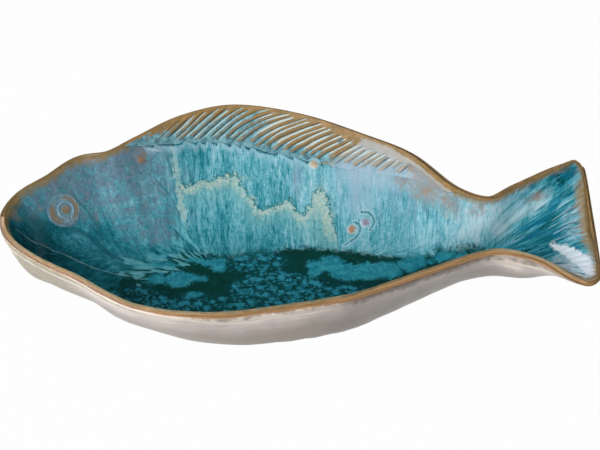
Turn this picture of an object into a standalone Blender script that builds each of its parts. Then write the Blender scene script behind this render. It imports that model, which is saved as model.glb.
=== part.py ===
"""Fish-shaped serving bowl of hand-pressed stoneware, lying on its side with the back fin as its high rim.

The slab is one loft: every station round the rim sends a curved wall down to a flat floor, and the
outer face, the rim roll and both coats of glaze are offsets of that one wall. Metres, +Z up, the head
towards -X and the back towards +Y. The origin is on the table, at the middle of the flat foot.
"""

import math

import bmesh
import bpy
from mathutils import Vector
from mathutils.bvhtree import BVHTree

# Over the clay face: snout to the end of the tail, and fin crest to belly
LENGTH = 0.4105
WIDTH = 0.1855

# Rim of the slab, from the snout along the back to the tail and home along the belly. Each point is
# its distance behind the snout, its distance off the long axis with the back positive, its height
# above the table, and how far the floor reaches out from the keel towards it. The drawing is
# stretched to LENGTH and WIDTH.
SNOUT = (0.000, 0.000, 0.049, 0.030)
FOREHEAD = (0.007, 0.0195, 0.050, 0.014)
BROW = (0.027, 0.0346, 0.053, 0.012)
CROWN = (0.046, 0.0515, 0.055, 0.012)
NAPE = (0.068, 0.0552, 0.057, 0.013)
FIN_FRONT = (0.089, 0.068, 0.060, 0.019)
FIN_RISE = (0.121, 0.0872, 0.064, 0.028)
FIN_CREST = (0.157, 0.0965, 0.066, 0.035)
FIN_MIDDLE = (0.205, 0.089, 0.064, 0.036)
FIN_FALL = (0.252, 0.070, 0.060, 0.029)
FIN_BACK = (0.284, 0.053, 0.057, 0.021)
TAIL_NECK = (0.315, 0.0213, 0.053, 0.008)
TAIL_WRIST = (0.341, 0.0102, 0.052, 0.005)
TAIL_SPREAD = (0.363, 0.024, 0.053, 0.006)
UPPER_LOBE = (0.4033, 0.0486, 0.056, 0.007)
UPPER_TIP = (0.4076, 0.0454, 0.055, 0.007)
TAIL_END = (0.4105, -0.008, 0.047, 0.006)
LOWER_TIP = (0.4095, -0.060, 0.051, 0.009)
LOWER_LOBE = (0.402, -0.066, 0.052, 0.0145)
TAIL_SPREAD_BELOW = (0.372, -0.0425, 0.051, 0.0195)
TAIL_WRIST_BELOW = (0.345, -0.033, 0.050, 0.0070)
TAIL_NECK_BELOW = (0.3235, -0.0375, 0.049, 0.003)
VENT = (0.301, -0.047, 0.048, 0.008)
FLANK = (0.2605, -0.0655, 0.0475, 0.024)
BELLY_BACK = (0.239, -0.0735, 0.047, 0.033)
BELLY = (0.178, -0.086, 0.046, 0.0465)
BELLY_FRONT = (0.138, -0.089, 0.046, 0.050)
THROAT = (0.097, -0.082, 0.046, 0.045)
GILL_BELOW = (0.0775, -0.0715, 0.0465, 0.0425)
CHIN = (0.055, -0.0560, 0.047, 0.035)
JAW = (0.022, -0.036, 0.048, 0.0375)
LIP = (0.006, -0.020, 0.049, 0.0445)
RIM = (
    SNOUT, FOREHEAD, BROW, CROWN, NAPE, FIN_FRONT, FIN_RISE, FIN_CREST, FIN_MIDDLE, FIN_FALL,
    FIN_BACK, TAIL_NECK, TAIL_WRIST, TAIL_SPREAD, UPPER_LOBE, UPPER_TIP, TAIL_END, LOWER_TIP,
    LOWER_LOBE, TAIL_SPREAD_BELOW, TAIL_WRIST_BELOW, TAIL_NECK_BELOW, VENT, FLANK, BELLY_BACK,
    BELLY, BELLY_FRONT, THROAT, GILL_BELOW, CHIN, JAW, LIP,
)

# Keel, the middle line of the floor: how far it stops short of the snout and of the tail's end, how
# far it lies off the axis at both ends and in the middle, and how it rises from the flat foot
HEAD_SHORT = 0.062
TAIL_SHORT = 0.016
KEEL_END_OFF = -0.010
KEEL_SAG = -0.022
FLAT_FROM = 0.115
FLAT_TO = 0.265
HEAD_RISE = 0.008
TAIL_RISE = 0.036
TAIL_SWEEP = 2.4

# Middle of the flat foot, where the frame has its origin
FOOT_MIDDLE = (0.190, -0.030)

# Clay slab
CLAY = 0.006
WALL_STEEPENING = 1.6

# The inner face falls back by this much at the rim, over this share of the wall
RIM_THINNING = 0.0020
THINNING_SHARE = 0.30

# Glaze coats, and the bare clay that they leave at the rim and the foot, measured down the wall
GLAZE = 0.0010
GLAZE_EDGE = 0.0005
POOL = 0.0006
RIM_BARE = 0.0018
FOOT_BARE = 0.0030
SEAT_GAP = 0.0003

# Back fin, bare clay from the rim down to its root, and the rays pressed into it
FIN_DEPTH = 0.0355
FIN_FULLNESS = 0.8
RAYS_FROM = 0.106
RAYS_TO = 0.278
RAY_PITCH_ENDS = 0.0048
RAY_PITCH_MIDDLE = 0.0066
RAY_GROOVE = 0.0009
RAY_LENGTH_FRONT = 0.046
RAY_LENGTH_BACK = 0.022
RAY_SLANT_FRONT = math.radians(40)
RAY_SLANT_BACK = math.radians(10)
RAY_RIM_GAP = 0.0045
RAY_ROOT_GAP = 0.0030
RAY_TIP_SHARE = 0.45

# Clay sprigs stuck on the wall before glazing: behind the snout, off the axis
EYE_PLACE = (0.0363, 0.0208)
EYE_RADIUS = 0.0125
EYE_RING = 0.0020
EYE_PUPIL = 0.0036
EYE_STAND = 0.0022
FLANK_PIPS = {"flank_pip_front": (0.244, 0.019), "flank_pip_rear": (0.2535, 0.0228)}
# Pips under the fin: behind the snout, and across the fish below the fin's root
FIN_PIPS = {"nape_pip": (0.0911, 0.0035), "back_pip": (0.2167, 0.0003)}
PIP_RADIUS = 0.0032
PIP_STAND = 0.0020

# Fineness of the facets
STEPS_BETWEEN = 3
ROLL_STEPS = 4
BARE_STEPS = 3
COAT_STEPS = 6
EYE_SIDES = 32
PIP_SIDES = 16
RAY_STEPS = 4
SMOOTH_ANGLE = math.radians(40)


def lerp(a, b, share):
    return a + (b - a) * share


def rim_line():
    """Closed smooth line through the rim points, as 4-D vectors, with each point's place along it."""
    knots = [Vector(point) for point in RIM]
    count = len(knots)
    chord = [(knots[(i + 1) % count] - knots[i]).to_2d().length for i in range(count)]
    slope = [
        (knots[(i + 1) % count] - knots[i - 1]) / (chord[i] + chord[i - 1]) for i in range(count)
    ]
    line = []
    for i in range(count):
        after = (i + 1) % count
        out, home = slope[i] * chord[i], slope[after] * chord[i]
        for step in range(STEPS_BETWEEN):
            t = step / STEPS_BETWEEN
            line.append(
                knots[i] * (2 * t**3 - 3 * t**2 + 1) + out * (t**3 - 2 * t**2 + t)
                + knots[after] * (3 * t**2 - 2 * t**3) + home * (t**3 - t**2)
            )
    return line


def keel(x):
    """Place on the keel that belongs to a rim point x behind the snout, as drawn."""
    q = (x - SNOUT[0]) / (TAIL_END[0] - SNOUT[0])
    along = x + HEAD_SHORT * (1 - q) ** 4 - TAIL_SHORT * q**6
    off = KEEL_END_OFF + KEEL_SAG * (4 * q * (1 - q)) ** 3
    rise = 0.0
    if along < FLAT_FROM:
        rise = HEAD_RISE * ((FLAT_FROM - along) / (FLAT_FROM - HEAD_SHORT)) ** 2
    if along > FLAT_TO:
        rise = TAIL_RISE * ((along - FLAT_TO) / (TAIL_END[0] - TAIL_SHORT - FLAT_TO)) ** TAIL_SWEEP
    return Vector((along, off, CLAY + rise))


def to_frame(x, y, z=0.0):
    """A drawn place on the fish as a point of the part's frame."""
    longer = LENGTH / (TAIL_END[0] - SNOUT[0])
    wider = WIDTH / (FIN_CREST[1] - BELLY_FRONT[1])
    return Vector(((x - FOOT_MIDDLE[0]) * longer, (y - FOOT_MIDDLE[1]) * wider, z))


class Wall:
    """The inner clay face: a curved section from each rim station down to the floor."""

    def __init__(self):
        self.stations = []
        for x, y, height, reach in rim_line():
            rim, middle = Vector((x, y, height)), keel(x)
            outward = (rim - middle).to_2d().normalized().to_3d()
            self.stations.append((to_frame(*rim), to_frame(*(middle + outward * reach))))
        self.count = len(self.stations)

    def point(self, i, w):
        """Point of station i, with w from 0 at the rim to 1 where the wall meets the floor."""
        rim, foot = self.stations[i % self.count]
        place = lerp(rim, foot, w)
        place.z = lerp(foot.z, rim.z, max(0.0, 1 - w) ** WALL_STEEPENING)
        return place

    def along(self, i, w):
        return (self.point(i + 1, w) - self.point(i - 1, w)).normalized()

    def normal(self, i, w):
        """Unit normal of the face, out of the clay and into the bowl."""
        step = 1e-3
        down = self.point(i, min(1, w + step)) - self.point(i, max(0, w - step))
        if w >= 1:
            down.z = 0
        return down.cross(self.along(i, w)).normalized()

    def offset(self, i, w, distance):
        """Point lifted off the face by distance, or sunk into the clay where it is negative."""
        return self.point(i, w) + self.normal(i, w) * distance

    def outer_loop(self, shares, distance):
        """Closed loop at one share per station, that distance under the inner face before thinning."""
        return [self.offset(i, w, -distance) for i, w in enumerate(shares)]

    def inner_loop(self, shares, lift):
        """Closed loop at one share per station, lifted off the inner face as it thins to the rim."""
        loop = []
        for i, w in enumerate(shares):
            thinning = RIM_THINNING * max(0.0, 1 - w / THINNING_SHARE) ** 2
            loop.append(self.offset(i, w, lift - thinning))
        return loop

    def roll(self, angle):
        """Loop of the rounded rim, from the inner face at 0 round to the outer face at pi."""
        points = []
        for i in range(self.count):
            normal = self.normal(i, 0)
            up = self.along(i, 0).cross(normal)
            middle = self.offset(i, 0, -(CLAY + RIM_THINNING) / 2)
            radius = (CLAY - RIM_THINNING) / 2
            points.append(middle + (normal * math.cos(angle) + up * math.sin(angle)) * radius)
        return points

    def share_at(self, i, distance):
        """Share w that lies that distance down the wall from the rim."""
        steps = 200
        gone = 0.0
        for k in range(steps):
            gone += (self.point(i, (k + 1) / steps) - self.point(i, k / steps)).length
            if gone >= distance:
                return (k + 1) / steps
        return 1.0


WALL = Wall()


def station_of(point):
    """Index of the station at one of the named rim points."""
    return RIM.index(point) * STEPS_BETWEEN


def fin_reach(i):
    """How far down the wall the fin's root lies at station i, nothing outside the fin."""
    front, back = station_of(NAPE), station_of(TAIL_NECK)
    if not front < i < back:
        return 0.0
    ends = WALL.point(front, 0).x, WALL.point(back, 0).x
    share = (WALL.point(i, 0).x - ends[0]) / (ends[1] - ends[0])
    return FIN_DEPTH * math.sin(math.pi * share) ** FIN_FULLNESS


# Where the inner and the outer coat start, one share per station
INNER_TOP = [WALL.share_at(i, max(RIM_BARE, fin_reach(i))) for i in range(WALL.count)]
OUTER_TOP = [WALL.share_at(i, RIM_BARE) for i in range(WALL.count)]


def shares_between(start, end, steps, k):
    """Shares of level k out of steps, from start to end, one per station."""
    return [lerp(a, b, k / steps) for a, b in zip(start, end)]


ALL_RIM = [0.0] * WALL.count
ALL_FLOOR = [1.0] * WALL.count


def coated_levels():
    """Levels of the inner face under the inner coat, from its top edge to the floor."""
    return [shares_between(INNER_TOP, ALL_FLOOR, COAT_STEPS, k) for k in range(COAT_STEPS + 1)]


def outer_coated_levels():
    """Levels of the outer face under the outer coat, from its top edge to the floor."""
    return [shares_between(OUTER_TOP, ALL_FLOOR, COAT_STEPS, k) for k in range(COAT_STEPS + 1)]


def solid(name, inner_loops, outer_loops):
    """Closed body between two sheets, joined to each other along their first loops."""
    bm = bmesh.new()
    station = bm.verts.layers.int.new("station")
    edges = [edge for loops in (inner_loops, outer_loops) for edge in sheet(bm, loops, station)]
    bmesh.ops.bridge_loops(bm, edges=edges)
    bmesh.ops.recalc_face_normals(bm, faces=bm.faces)
    return object_from(name, bm)


def sheet(bm, loops, station):
    """Sheet of triangles down through the loops and across the floor. Gives its first edges."""
    verts = [bm.verts.new(point) for point in loops[0]]
    for i, vert in enumerate(verts):
        vert[station] = i
    first = [bm.edges.new((verts[i - 1], vert)) for i, vert in enumerate(verts)]
    edges, faces = first, []
    for loop in loops[1:]:
        made = bmesh.ops.extrude_edge_only(bm, edges=edges)["geom"]
        fresh = {part for part in made if isinstance(part, bmesh.types.BMVert)}
        for vert in fresh:
            vert.co = loop[vert[station]]
        edges = [
            part for part in made
            if isinstance(part, bmesh.types.BMEdge) and set(part.verts) <= fresh
        ]
        faces += [part for part in made if isinstance(part, bmesh.types.BMFace)]
    faces += floor(bm, edges, station)
    bmesh.ops.triangulate(bm, faces=faces, quad_method="FIXED")
    return first


def floor(bm, edges, station):
    """Closes a loop of edges with rungs between the back's and the belly's stations."""
    turn = station_of(TAIL_END)
    tips = (0, 1, WALL.count - 1), (turn - 1, turn, turn + 1)
    verts = {vert[station]: vert for edge in edges for vert in edge.verts}
    for tip in tips:
        bmesh.ops.contextual_create(bm, geom=[verts[i] for i in tip])
    chains = [
        edge for edge in edges
        if not any({vert[station] for vert in edge.verts} <= set(tip) for tip in tips)
    ]
    return bmesh.ops.bridge_loops(bm, edges=chains)["faces"]


def object_from(name, bm):
    """Linked object that holds the bmesh, shaded smooth with its sharp corners kept."""
    mesh = bpy.data.meshes.new(name)
    bm.to_mesh(mesh)
    bm.free()
    mesh.shade_smooth()
    mesh.set_sharp_from_angle(angle=SMOOTH_ANGLE)
    obj = bpy.data.objects.new(name, mesh)
    bpy.context.scene.collection.objects.link(obj)
    return obj


def clay(name, lift=0.0):
    """The slab, with its inner face lifted where another piece is to be pressed to it."""
    bare = [shares_between(ALL_RIM, INNER_TOP, BARE_STEPS, k) for k in range(BARE_STEPS)]
    inner = [WALL.inner_loop(level, lift) for level in bare + coated_levels()]
    rim = [WALL.roll(math.pi * k / ROLL_STEPS) for k in range(1, ROLL_STEPS)]
    outer = [WALL.outer_loop(level, CLAY) for level in [ALL_RIM] + outer_coated_levels()]
    return solid(name, inner, rim + outer)


def cutter(obj):
    """Marks an object as a helper that only cuts others."""
    obj.hide_render = True
    obj.display_type = "WIRE"
    return obj


def cut(obj, tool):
    """Boolean difference left live on the object."""
    boolean = obj.modifiers.new("cut_" + tool.name, "BOOLEAN")
    boolean.operation = "DIFFERENCE"
    boolean.object = tool


def fin_lines():
    """The rim and the fin's root along the fin, as points of the clay face from front to back."""
    stations = range(station_of(NAPE), station_of(TAIL_NECK) + 1)
    rim = [WALL.point(i, 0) for i in stations]
    root = [WALL.point(i, WALL.share_at(i, fin_reach(i))) for i in stations]
    return rim, root


def across_at(line, x):
    """Distance across the fish of a line of points, at x along it."""
    for a, b in zip(line, line[1:]):
        if a.x <= x <= b.x:
            return lerp(a.y, b.y, (x - a.x) / (b.x - a.x))
    return line[-1].y


def ray_starts():
    """Where the rays leave the root, behind the snout: wider apart in the middle of the fin."""
    starts = [RAYS_FROM]
    while starts[-1] < RAYS_TO:
        middling = math.sin(math.pi * ray_share(starts[-1]))
        starts.append(starts[-1] + lerp(RAY_PITCH_ENDS, RAY_PITCH_MIDDLE, middling))
    return starts[:-1]


def ray_share(start):
    """Place of a ray along the fin, 0 for the first and 1 at the end of the last."""
    return (start - RAYS_FROM) / (RAYS_TO - RAYS_FROM)


def ray_path(tree, start_x, share):
    """Points of one fin ray on the clay, from the fin's root up and back towards the rim."""
    rim, root = fin_lines()
    x = to_frame(start_x, 0).x
    start = Vector((x, across_at(root, x) + RAY_ROOT_GAP, FIN_CREST[2] * 2))
    slant = lerp(RAY_SLANT_FRONT, RAY_SLANT_BACK, share)
    way = Vector((math.cos(slant), math.sin(slant), 0))
    longest = lerp(RAY_LENGTH_FRONT, RAY_LENGTH_BACK, share)
    length, step = 0.0, longest / 100
    while length < longest:
        place = start + way * (length + step)
        if across_at(rim, place.x) - place.y < RAY_RIM_GAP:
            break
        length += step
    places = [start + way * length * k / RAY_STEPS for k in range(RAY_STEPS + 1)]
    return [tree.ray_cast(place, Vector((0, 0, -1)))[0] for place in places]


def ray_cutters(tree):
    """Tapered rods along the fin rays, in one mesh that presses all the grooves."""
    curve = bpy.data.curves.new("fin_ray_rods", "CURVE")
    curve.dimensions = "3D"
    curve.bevel_depth = RAY_GROOVE
    curve.bevel_resolution = 1
    curve.use_fill_caps = True
    for start_x in ray_starts():
        path = ray_path(tree, start_x, ray_share(start_x))
        spline = curve.splines.new("POLY")
        spline.points.add(RAY_STEPS)
        for k, (point, here) in enumerate(zip(spline.points, path)):
            point.co = here.to_4d()
            point.radius = lerp(RAY_TIP_SHARE, 1, math.sin(math.pi * k / RAY_STEPS))
    rods = bpy.data.objects.new("fin_ray_rods", curve)
    bpy.context.scene.collection.objects.link(rods)
    bpy.context.view_layer.update()
    graph = bpy.context.evaluated_depsgraph_get()
    bm = bmesh.new()
    bm.from_mesh(rods.evaluated_get(graph).to_mesh())
    bpy.data.objects.remove(rods)
    bmesh.ops.remove_doubles(bm, verts=bm.verts, dist=1e-6)
    bmesh.ops.recalc_face_normals(bm, faces=bm.faces)
    return cutter(object_from("fin_ray_cutter", bm))


def inner_glaze(holes):
    """Lining of the bowl, thin at its edge and pooled on the floor, with the sprigs left clear."""
    levels = coated_levels()
    under = [WALL.inner_loop(level, SEAT_GAP) for level in levels]
    thickness = [GLAZE_EDGE] + [
        GLAZE + POOL * (k / COAT_STEPS) ** 4 for k in range(1, COAT_STEPS + 1)
    ]
    over = [WALL.inner_loop(level, SEAT_GAP + t) for level, t in zip(levels, thickness)]
    coat = solid("inner_glaze", under, over)
    for hole in holes:
        cut(coat, hole)
    return coat


def wiped_foot():
    """Flat box that takes the glaze off the foot, as high as the clay is left bare."""
    bm = bmesh.new()
    bmesh.ops.create_cube(bm, size=1)
    reach = LENGTH * 2
    bmesh.ops.scale(bm, vec=(reach, reach, FOOT_BARE * 2), verts=bm.verts)
    return cutter(object_from("wiped_foot", bm))


def outer_glaze():
    """Coat on the outer wall, from under the rim to just above the bare foot."""
    levels = outer_coated_levels()
    under = [WALL.outer_loop(level, CLAY + SEAT_GAP) for level in levels]
    thickness = [GLAZE_EDGE] + [GLAZE] * COAT_STEPS
    over = [WALL.outer_loop(level, CLAY + SEAT_GAP + t) for level, t in zip(levels, thickness)]
    coat = solid("outer_glaze", under, over)
    cut(coat, wiped_foot())
    return coat


def seat_on(tree, place):
    """Point and normal of the clay face under a point of the frame."""
    above = Vector((place.x, place.y, FIN_CREST[2] * 2))
    point, normal, _, _ = tree.ray_cast(above, Vector((0, 0, -1)))
    return point, normal


def pip_places():
    """Where each pip lies in the frame, those under the fin measured from its root."""
    places = {name: to_frame(*place) for name, place in FLANK_PIPS.items()}
    _, root = fin_lines()
    for name, (x, below) in FIN_PIPS.items():
        place = to_frame(x, 0)
        place.y = across_at(root, place.x) - below
        places[name] = place
    return places


def turned(name, profile, seat, sides):
    """Solid of revolution on a seat, from a profile of (radius, height) points, axis to axis."""
    point, normal = seat
    bm = bmesh.new()
    verts = [bm.verts.new((radius, 0, height)) for radius, height in profile]
    edges = [bm.edges.new(pair) for pair in zip(verts, verts[1:])]
    bmesh.ops.spin(
        bm, geom=verts + edges, cent=(0, 0, 0), axis=(0, 0, 1), angle=2 * math.pi,
        steps=sides, use_merge=True,
    )
    bmesh.ops.remove_doubles(bm, verts=bm.verts, dist=1e-6)
    bmesh.ops.recalc_face_normals(bm, faces=bm.faces)
    turn = normal.to_track_quat("Z", "Y").to_matrix().to_4x4()
    turn.translation = point
    bmesh.ops.transform(bm, matrix=turn, verts=bm.verts)
    return object_from(name, bm)


def eye(seat, pressed):
    """Disc with a rolled ring round its edge and a round pupil, pressed to the clay under it."""
    face = GLAZE + SEAT_GAP
    ring_middle = EYE_RADIUS - EYE_RING
    profile = [(0, -CLAY / 2), (EYE_RADIUS, -CLAY / 2), (EYE_RADIUS, face)]
    profile += [
        (ring_middle + EYE_RING * math.cos(a), face + (EYE_STAND - face) * math.sin(a))
        for a in (math.pi / 4, math.pi / 2, 3 * math.pi / 4, math.pi)
    ]
    profile += [(EYE_PUPIL, face)]
    profile += [
        (EYE_PUPIL * math.cos(a), face + (EYE_STAND - face) * math.sin(a))
        for a in (math.pi / 6, math.pi / 3, math.pi / 2)
    ]
    profile[-1] = (0, EYE_STAND)
    sprig = turned("eye", profile, seat, EYE_SIDES)
    cut(sprig, pressed)
    return sprig


def pip(name, seat, pressed):
    """Small round pellet, pressed to the clay under it."""
    profile = [(0, -CLAY / 2), (PIP_RADIUS, -CLAY / 2), (PIP_RADIUS, 0)]
    profile += [
        (PIP_RADIUS * math.cos(a), PIP_STAND * math.sin(a))
        for a in (math.pi / 8, math.pi / 4, 3 * math.pi / 8)
    ]
    profile += [(0, PIP_STAND)]
    sprig = turned(name, profile, seat, PIP_SIDES)
    cut(sprig, pressed)
    return sprig


def hole_for(name, radius, seat, sides):
    """Round cutter that clears a sprig from the glaze."""
    reach = CLAY
    profile = [(0, -reach), (radius + SEAT_GAP, -reach), (radius + SEAT_GAP, reach), (0, reach)]
    return cutter(turned(name + "_hole", profile, seat, sides))


def finish(obj, colour, roughness):
    """Principled material of a fired clay or glaze surface."""
    material = bpy.data.materials.new(obj.name + "_finish")
    material.use_nodes = True
    shader = material.node_tree.nodes["Principled BSDF"]
    shader.inputs["Base Color"].default_value = (*colour, 1)
    shader.inputs["Roughness"].default_value = roughness
    shader.inputs["Metallic"].default_value = 0
    material.diffuse_color = (*colour, 1)
    obj.data.materials.append(material)


def clear_scene():
    for obj in list(bpy.data.objects):
        bpy.data.objects.remove(obj)


def main():
    clear_scene()
    body = clay("stoneware_body")
    finish(body, (0.36, 0.21, 0.09), 0.55)
    bm = bmesh.new()
    bm.from_mesh(body.data)
    tree = BVHTree.FromBMesh(bm)
    bm.free()
    cut(body, ray_cutters(tree))
    pressed = cutter(clay("pressed_clay", SEAT_GAP))

    eye_seat = seat_on(tree, to_frame(*EYE_PLACE))
    finish(eye(eye_seat, pressed), (0.25, 0.22, 0.14), 0.30)
    holes = [hole_for("eye", EYE_RADIUS, eye_seat, EYE_SIDES)]
    for name, place in pip_places().items():
        seat = seat_on(tree, place)
        finish(pip(name, seat, pressed), (0.45, 0.24, 0.10), 0.35)
        holes.append(hole_for(name, PIP_RADIUS, seat, PIP_SIDES))

    finish(inner_glaze(holes), (0.08, 0.33, 0.38), 0.12)
    finish(outer_glaze(), (0.56, 0.52, 0.47), 0.25)


main()
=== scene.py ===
# Fish-shaped serving bowl of hand-pressed stoneware under a reactive turquoise glaze.
# The drawing below is in millimetres on the fish: x behind the snout, y off its long axis with the
# back positive, z above the table. It is fitted to the packed clay body's own box.
import math

import bmesh
import bpy
import numpy as np
from mathutils import Matrix, Vector
from mathutils.bvhtree import BVHTree


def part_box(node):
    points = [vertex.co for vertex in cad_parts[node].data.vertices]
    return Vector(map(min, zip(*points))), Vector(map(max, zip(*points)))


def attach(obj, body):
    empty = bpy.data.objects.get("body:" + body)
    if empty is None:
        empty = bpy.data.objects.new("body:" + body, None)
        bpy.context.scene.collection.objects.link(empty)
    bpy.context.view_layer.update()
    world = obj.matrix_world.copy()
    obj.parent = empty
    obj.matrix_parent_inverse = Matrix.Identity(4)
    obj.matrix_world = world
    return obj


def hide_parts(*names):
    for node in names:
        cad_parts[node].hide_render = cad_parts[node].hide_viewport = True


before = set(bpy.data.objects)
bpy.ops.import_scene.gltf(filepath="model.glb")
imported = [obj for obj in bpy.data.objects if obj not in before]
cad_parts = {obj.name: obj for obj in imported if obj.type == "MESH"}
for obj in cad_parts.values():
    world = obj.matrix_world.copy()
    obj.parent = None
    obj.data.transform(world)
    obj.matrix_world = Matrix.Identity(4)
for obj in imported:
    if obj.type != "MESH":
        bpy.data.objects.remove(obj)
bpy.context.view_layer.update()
mm = 0.001

slab = {
    # rim from the snout along the back and home along the belly: x, y, z and the floor's reach
    "rim": (
        (0, 0, 49, 30),  # snout
        (7, 19.5, 50, 14),  # forehead
        (27, 34.6, 53, 12),  # brow
        (46, 51.5, 55, 12),  # crown
        (68, 55.2, 57, 13),  # nape
        (89, 68, 60, 19),  # front of the back fin
        (121, 87.2, 64, 28),
        (157, 96.5, 66, 35),  # crest of the fin
        (205, 89, 64, 36),
        (252, 70, 60, 29),
        (284, 53, 57, 21),  # back of the fin
        (315, 21.3, 53, 8),  # tail neck
        (341, 10.2, 52, 5),  # tail wrist
        (363, 24, 53, 6),
        (403.3, 48.6, 56, 7),  # upper lobe
        (407.6, 45.4, 55, 7),
        (410.5, -8, 47, 6),  # end of the tail
        (409.5, -60, 51, 9),
        (402, -66, 52, 14.5),  # lower lobe
        (372, -42.5, 51, 19.5),
        (345, -33, 50, 7),  # tail wrist, below
        (323.5, -37.5, 49, 3),
        (301, -47, 48, 8),  # vent
        (260.5, -65.5, 47.5, 24),
        (239, -73.5, 47, 33),
        (178, -86, 46, 46.5),  # belly
        (138, -89, 46, 50),
        (97, -82, 46, 45),  # throat
        (77.5, -71.5, 46.5, 42.5),
        (55, -56, 47, 35),  # chin
        (22, -36, 48, 37.5),  # jaw
        (6, -20, 49, 44.5),  # lip
    ),
    "rimSteps": 1500, "wallSteps": 401, "long": 410.5,
    "keelShort": (62, 16),  # the floor's middle line stops short of the snout and of the tail's end
    "keelOff": (-10, -22),  # off the axis at its ends, and its further sag in the middle
    "flat": (115, 265),  # the foot is flat between these
    "rise": (8, 36, 2.4),  # up to the head, up to the tail, and how late the tail starts to lift
    "steep": 1.6,  # how the wall steepens towards the rim
    "clay": 6.0,
    "thin": 2.0, "thinOver": 0.3,  # its face falls back this far at the rim, over this share of the wall
    # slow waves that the hand leaves in the slab: height in all, then share, length in x and in y, start
    "uneven": 0.35, "waves": ((0.5, 19, 31, 0.7), (0.3, 8.3, -11, 2.1), (0.2, 4.1, 5.7, 4.0)),
}

fin = {
    "from": 78, "to": 320, "deep": 33.5, "full": 0.8,  # the bare fin's root, down the wall from the rim
    "rays": (99, 282),  # first and last ray at the root
    "pitch": (6.5, 6.3),  # their step at the ends and between
    "slant": (44, 28),  # degrees in plan, front and back
    "bend": (0.004, 0.05), "bendIn": (30, 35),  # lean back as they rise, from past the first ray
    "groove": 1.2, "sharp": 1.4,
    "rimGap": (1.2, 7.5), "short": (215, 250),  # rays fade this near the rim, before and behind these places
    "rimFade": 3.5, "rootGap": (1.0, 5.0),
    "blemish": (236, 72, 3.2, 1.8, -20),  # a grey spot: x, y, half length, half width, degrees
    "finer": (85, 300),  # columns stand closer along this stretch
    # pressed by hand: how much the rays wander and differ at the rim and the root, and the pace from ray to
    # ray; how much they sway on their way down, over how many millimetres, how differently, and the pace
    "wander": (0.09, 2.1), "rimUneven": (1.2, 3.3), "rootUneven": (1.5, 2.7), "sway": (0.08, 8, 2.6, 1.3),
    "firstIn": (-1.5, 0.5), "lastOut": (-1.0, 1.5),  # rays fade out past the first and the last
}


def smoothLoop(knots, steps):
    # closed line through the knots, with the same number of steps between each two
    at = np.array(knots, float)
    after, before = np.roll(at, -1, axis=0), np.roll(at, 1, axis=0)
    chord = np.linalg.norm((after - at)[:, :2], axis=1)[:, None]
    slope = (after - before) / (chord + np.roll(chord, 1, axis=0))
    leave, arrive = (slope * chord)[:, None], (np.roll(slope, -1, axis=0) * chord)[:, None]
    t = np.linspace(0, 1, steps, endpoint=False)[None, :, None]
    line = at[:, None] * (2 * t**3 - 3 * t**2 + 1) + leave * (t**3 - 2 * t**2 + t)
    line = line + after[:, None] * (3 * t**2 - 2 * t**3) + arrive * (t**3 - t**2)
    return line.reshape(-1, at.shape[1])


def keelLine(x):
    q = x / slab["long"]
    along = x + slab["keelShort"][0] * (1 - q) ** 4 - slab["keelShort"][1] * q**6
    off = slab["keelOff"][0] + slab["keelOff"][1] * (4 * q * (1 - q)) ** 3
    start, end = slab["flat"]
    toHead = np.clip((start - along) / (start - slab["keelShort"][0]), 0, None)
    toTail = np.clip((along - end) / (slab["long"] - slab["keelShort"][1] - end), 0, None)
    lift = slab["rise"][0] * toHead**2 + slab["rise"][1] * toTail ** slab["rise"][2]
    return np.stack([along, off, slab["clay"] + lift], axis=-1)


def layStations(perSide, finer=0.0):
    # columns round the bowl, back and belly in pairs that share their place on the keel
    line = smoothLoop(slab["rim"], slab["rimSteps"])
    line = np.roll(line, -line[:, 0].argmin(), axis=0)
    turn = line[:, 0].argmax()
    back, belly = line[: turn + 1].copy(), np.vstack([line[turn:], line[:1]])[::-1].copy()
    arcs = []
    for side in (back, belly):
        side[:, 0] = np.maximum.accumulate(side[:, 0])
        step = np.linalg.norm(np.diff(side[:, :2], axis=0), axis=1)
        arcs.append(np.concatenate([[0], np.cumsum(step)]))
    shared = np.unique(np.concatenate([back[:, 0], belly[:, 0]]))
    pace = np.interp(shared, back[:, 0], arcs[0]) + np.interp(shared, belly[:, 0], arcs[1])
    start, end = fin["finer"]
    pace = pace + finer * 2 * np.clip(shared - start, 0, end - start)
    xs = np.interp(np.linspace(0, pace[-1], perSide + 1), pace, shared)

    def read(side, arc, at, sign):
        cols = [np.interp(at, side[:, 0], side[:, k]) for k in range(4)]
        return np.stack(cols + [sign * np.interp(at, side[:, 0], arc)], axis=-1)

    rows = np.vstack([read(back, arcs[0], xs, 1), read(belly, arcs[1], xs[-2:0:-1], -1)])
    rim, keel = rows[:, :3], keelLine(rows[:, 0])
    outward = (rim - keel) * (1, 1, 0)
    outward /= np.linalg.norm(outward, axis=1)[:, None]
    cols = {"rim": rim, "keel": keel, "foot": keel + outward * rows[:, 3:4], "arc": rows[:, 4]}
    cols["onBack"] = cols["arc"] > 0
    ways = wallAt(cols, np.tile(np.linspace(0, 2, slab["wallSteps"]), (len(rim), 1)))
    gone = np.linalg.norm(np.diff(ways, axis=1), axis=2).cumsum(axis=1)
    cols["gone"] = np.hstack([np.zeros((len(rim), 1)), gone])
    share = np.clip((rim[:, 0] - fin["from"]) / (fin["to"] - fin["from"]), 0, 1)
    cols["fin"] = np.where(cols["onBack"], fin["deep"] * np.sin(math.pi * share) ** fin["full"], 0)
    return cols


def wallAt(cols, w):
    # points of the bare inner face: w is 0 at the rim, 1 where the wall meets the floor, 2 at the keel
    wall, floor = np.clip(w, 0, 1)[..., None], np.clip(w - 1, 0, 1)[..., None]
    rim, foot, keel = (cols[k][:, None] for k in ("rim", "foot", "keel"))
    at = rim + (foot - rim) * wall + (keel - foot) * floor
    at[..., 2:] = foot[..., 2:] + (rim - foot)[..., 2:] * (1 - wall) ** slab["steep"]
    return at


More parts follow.
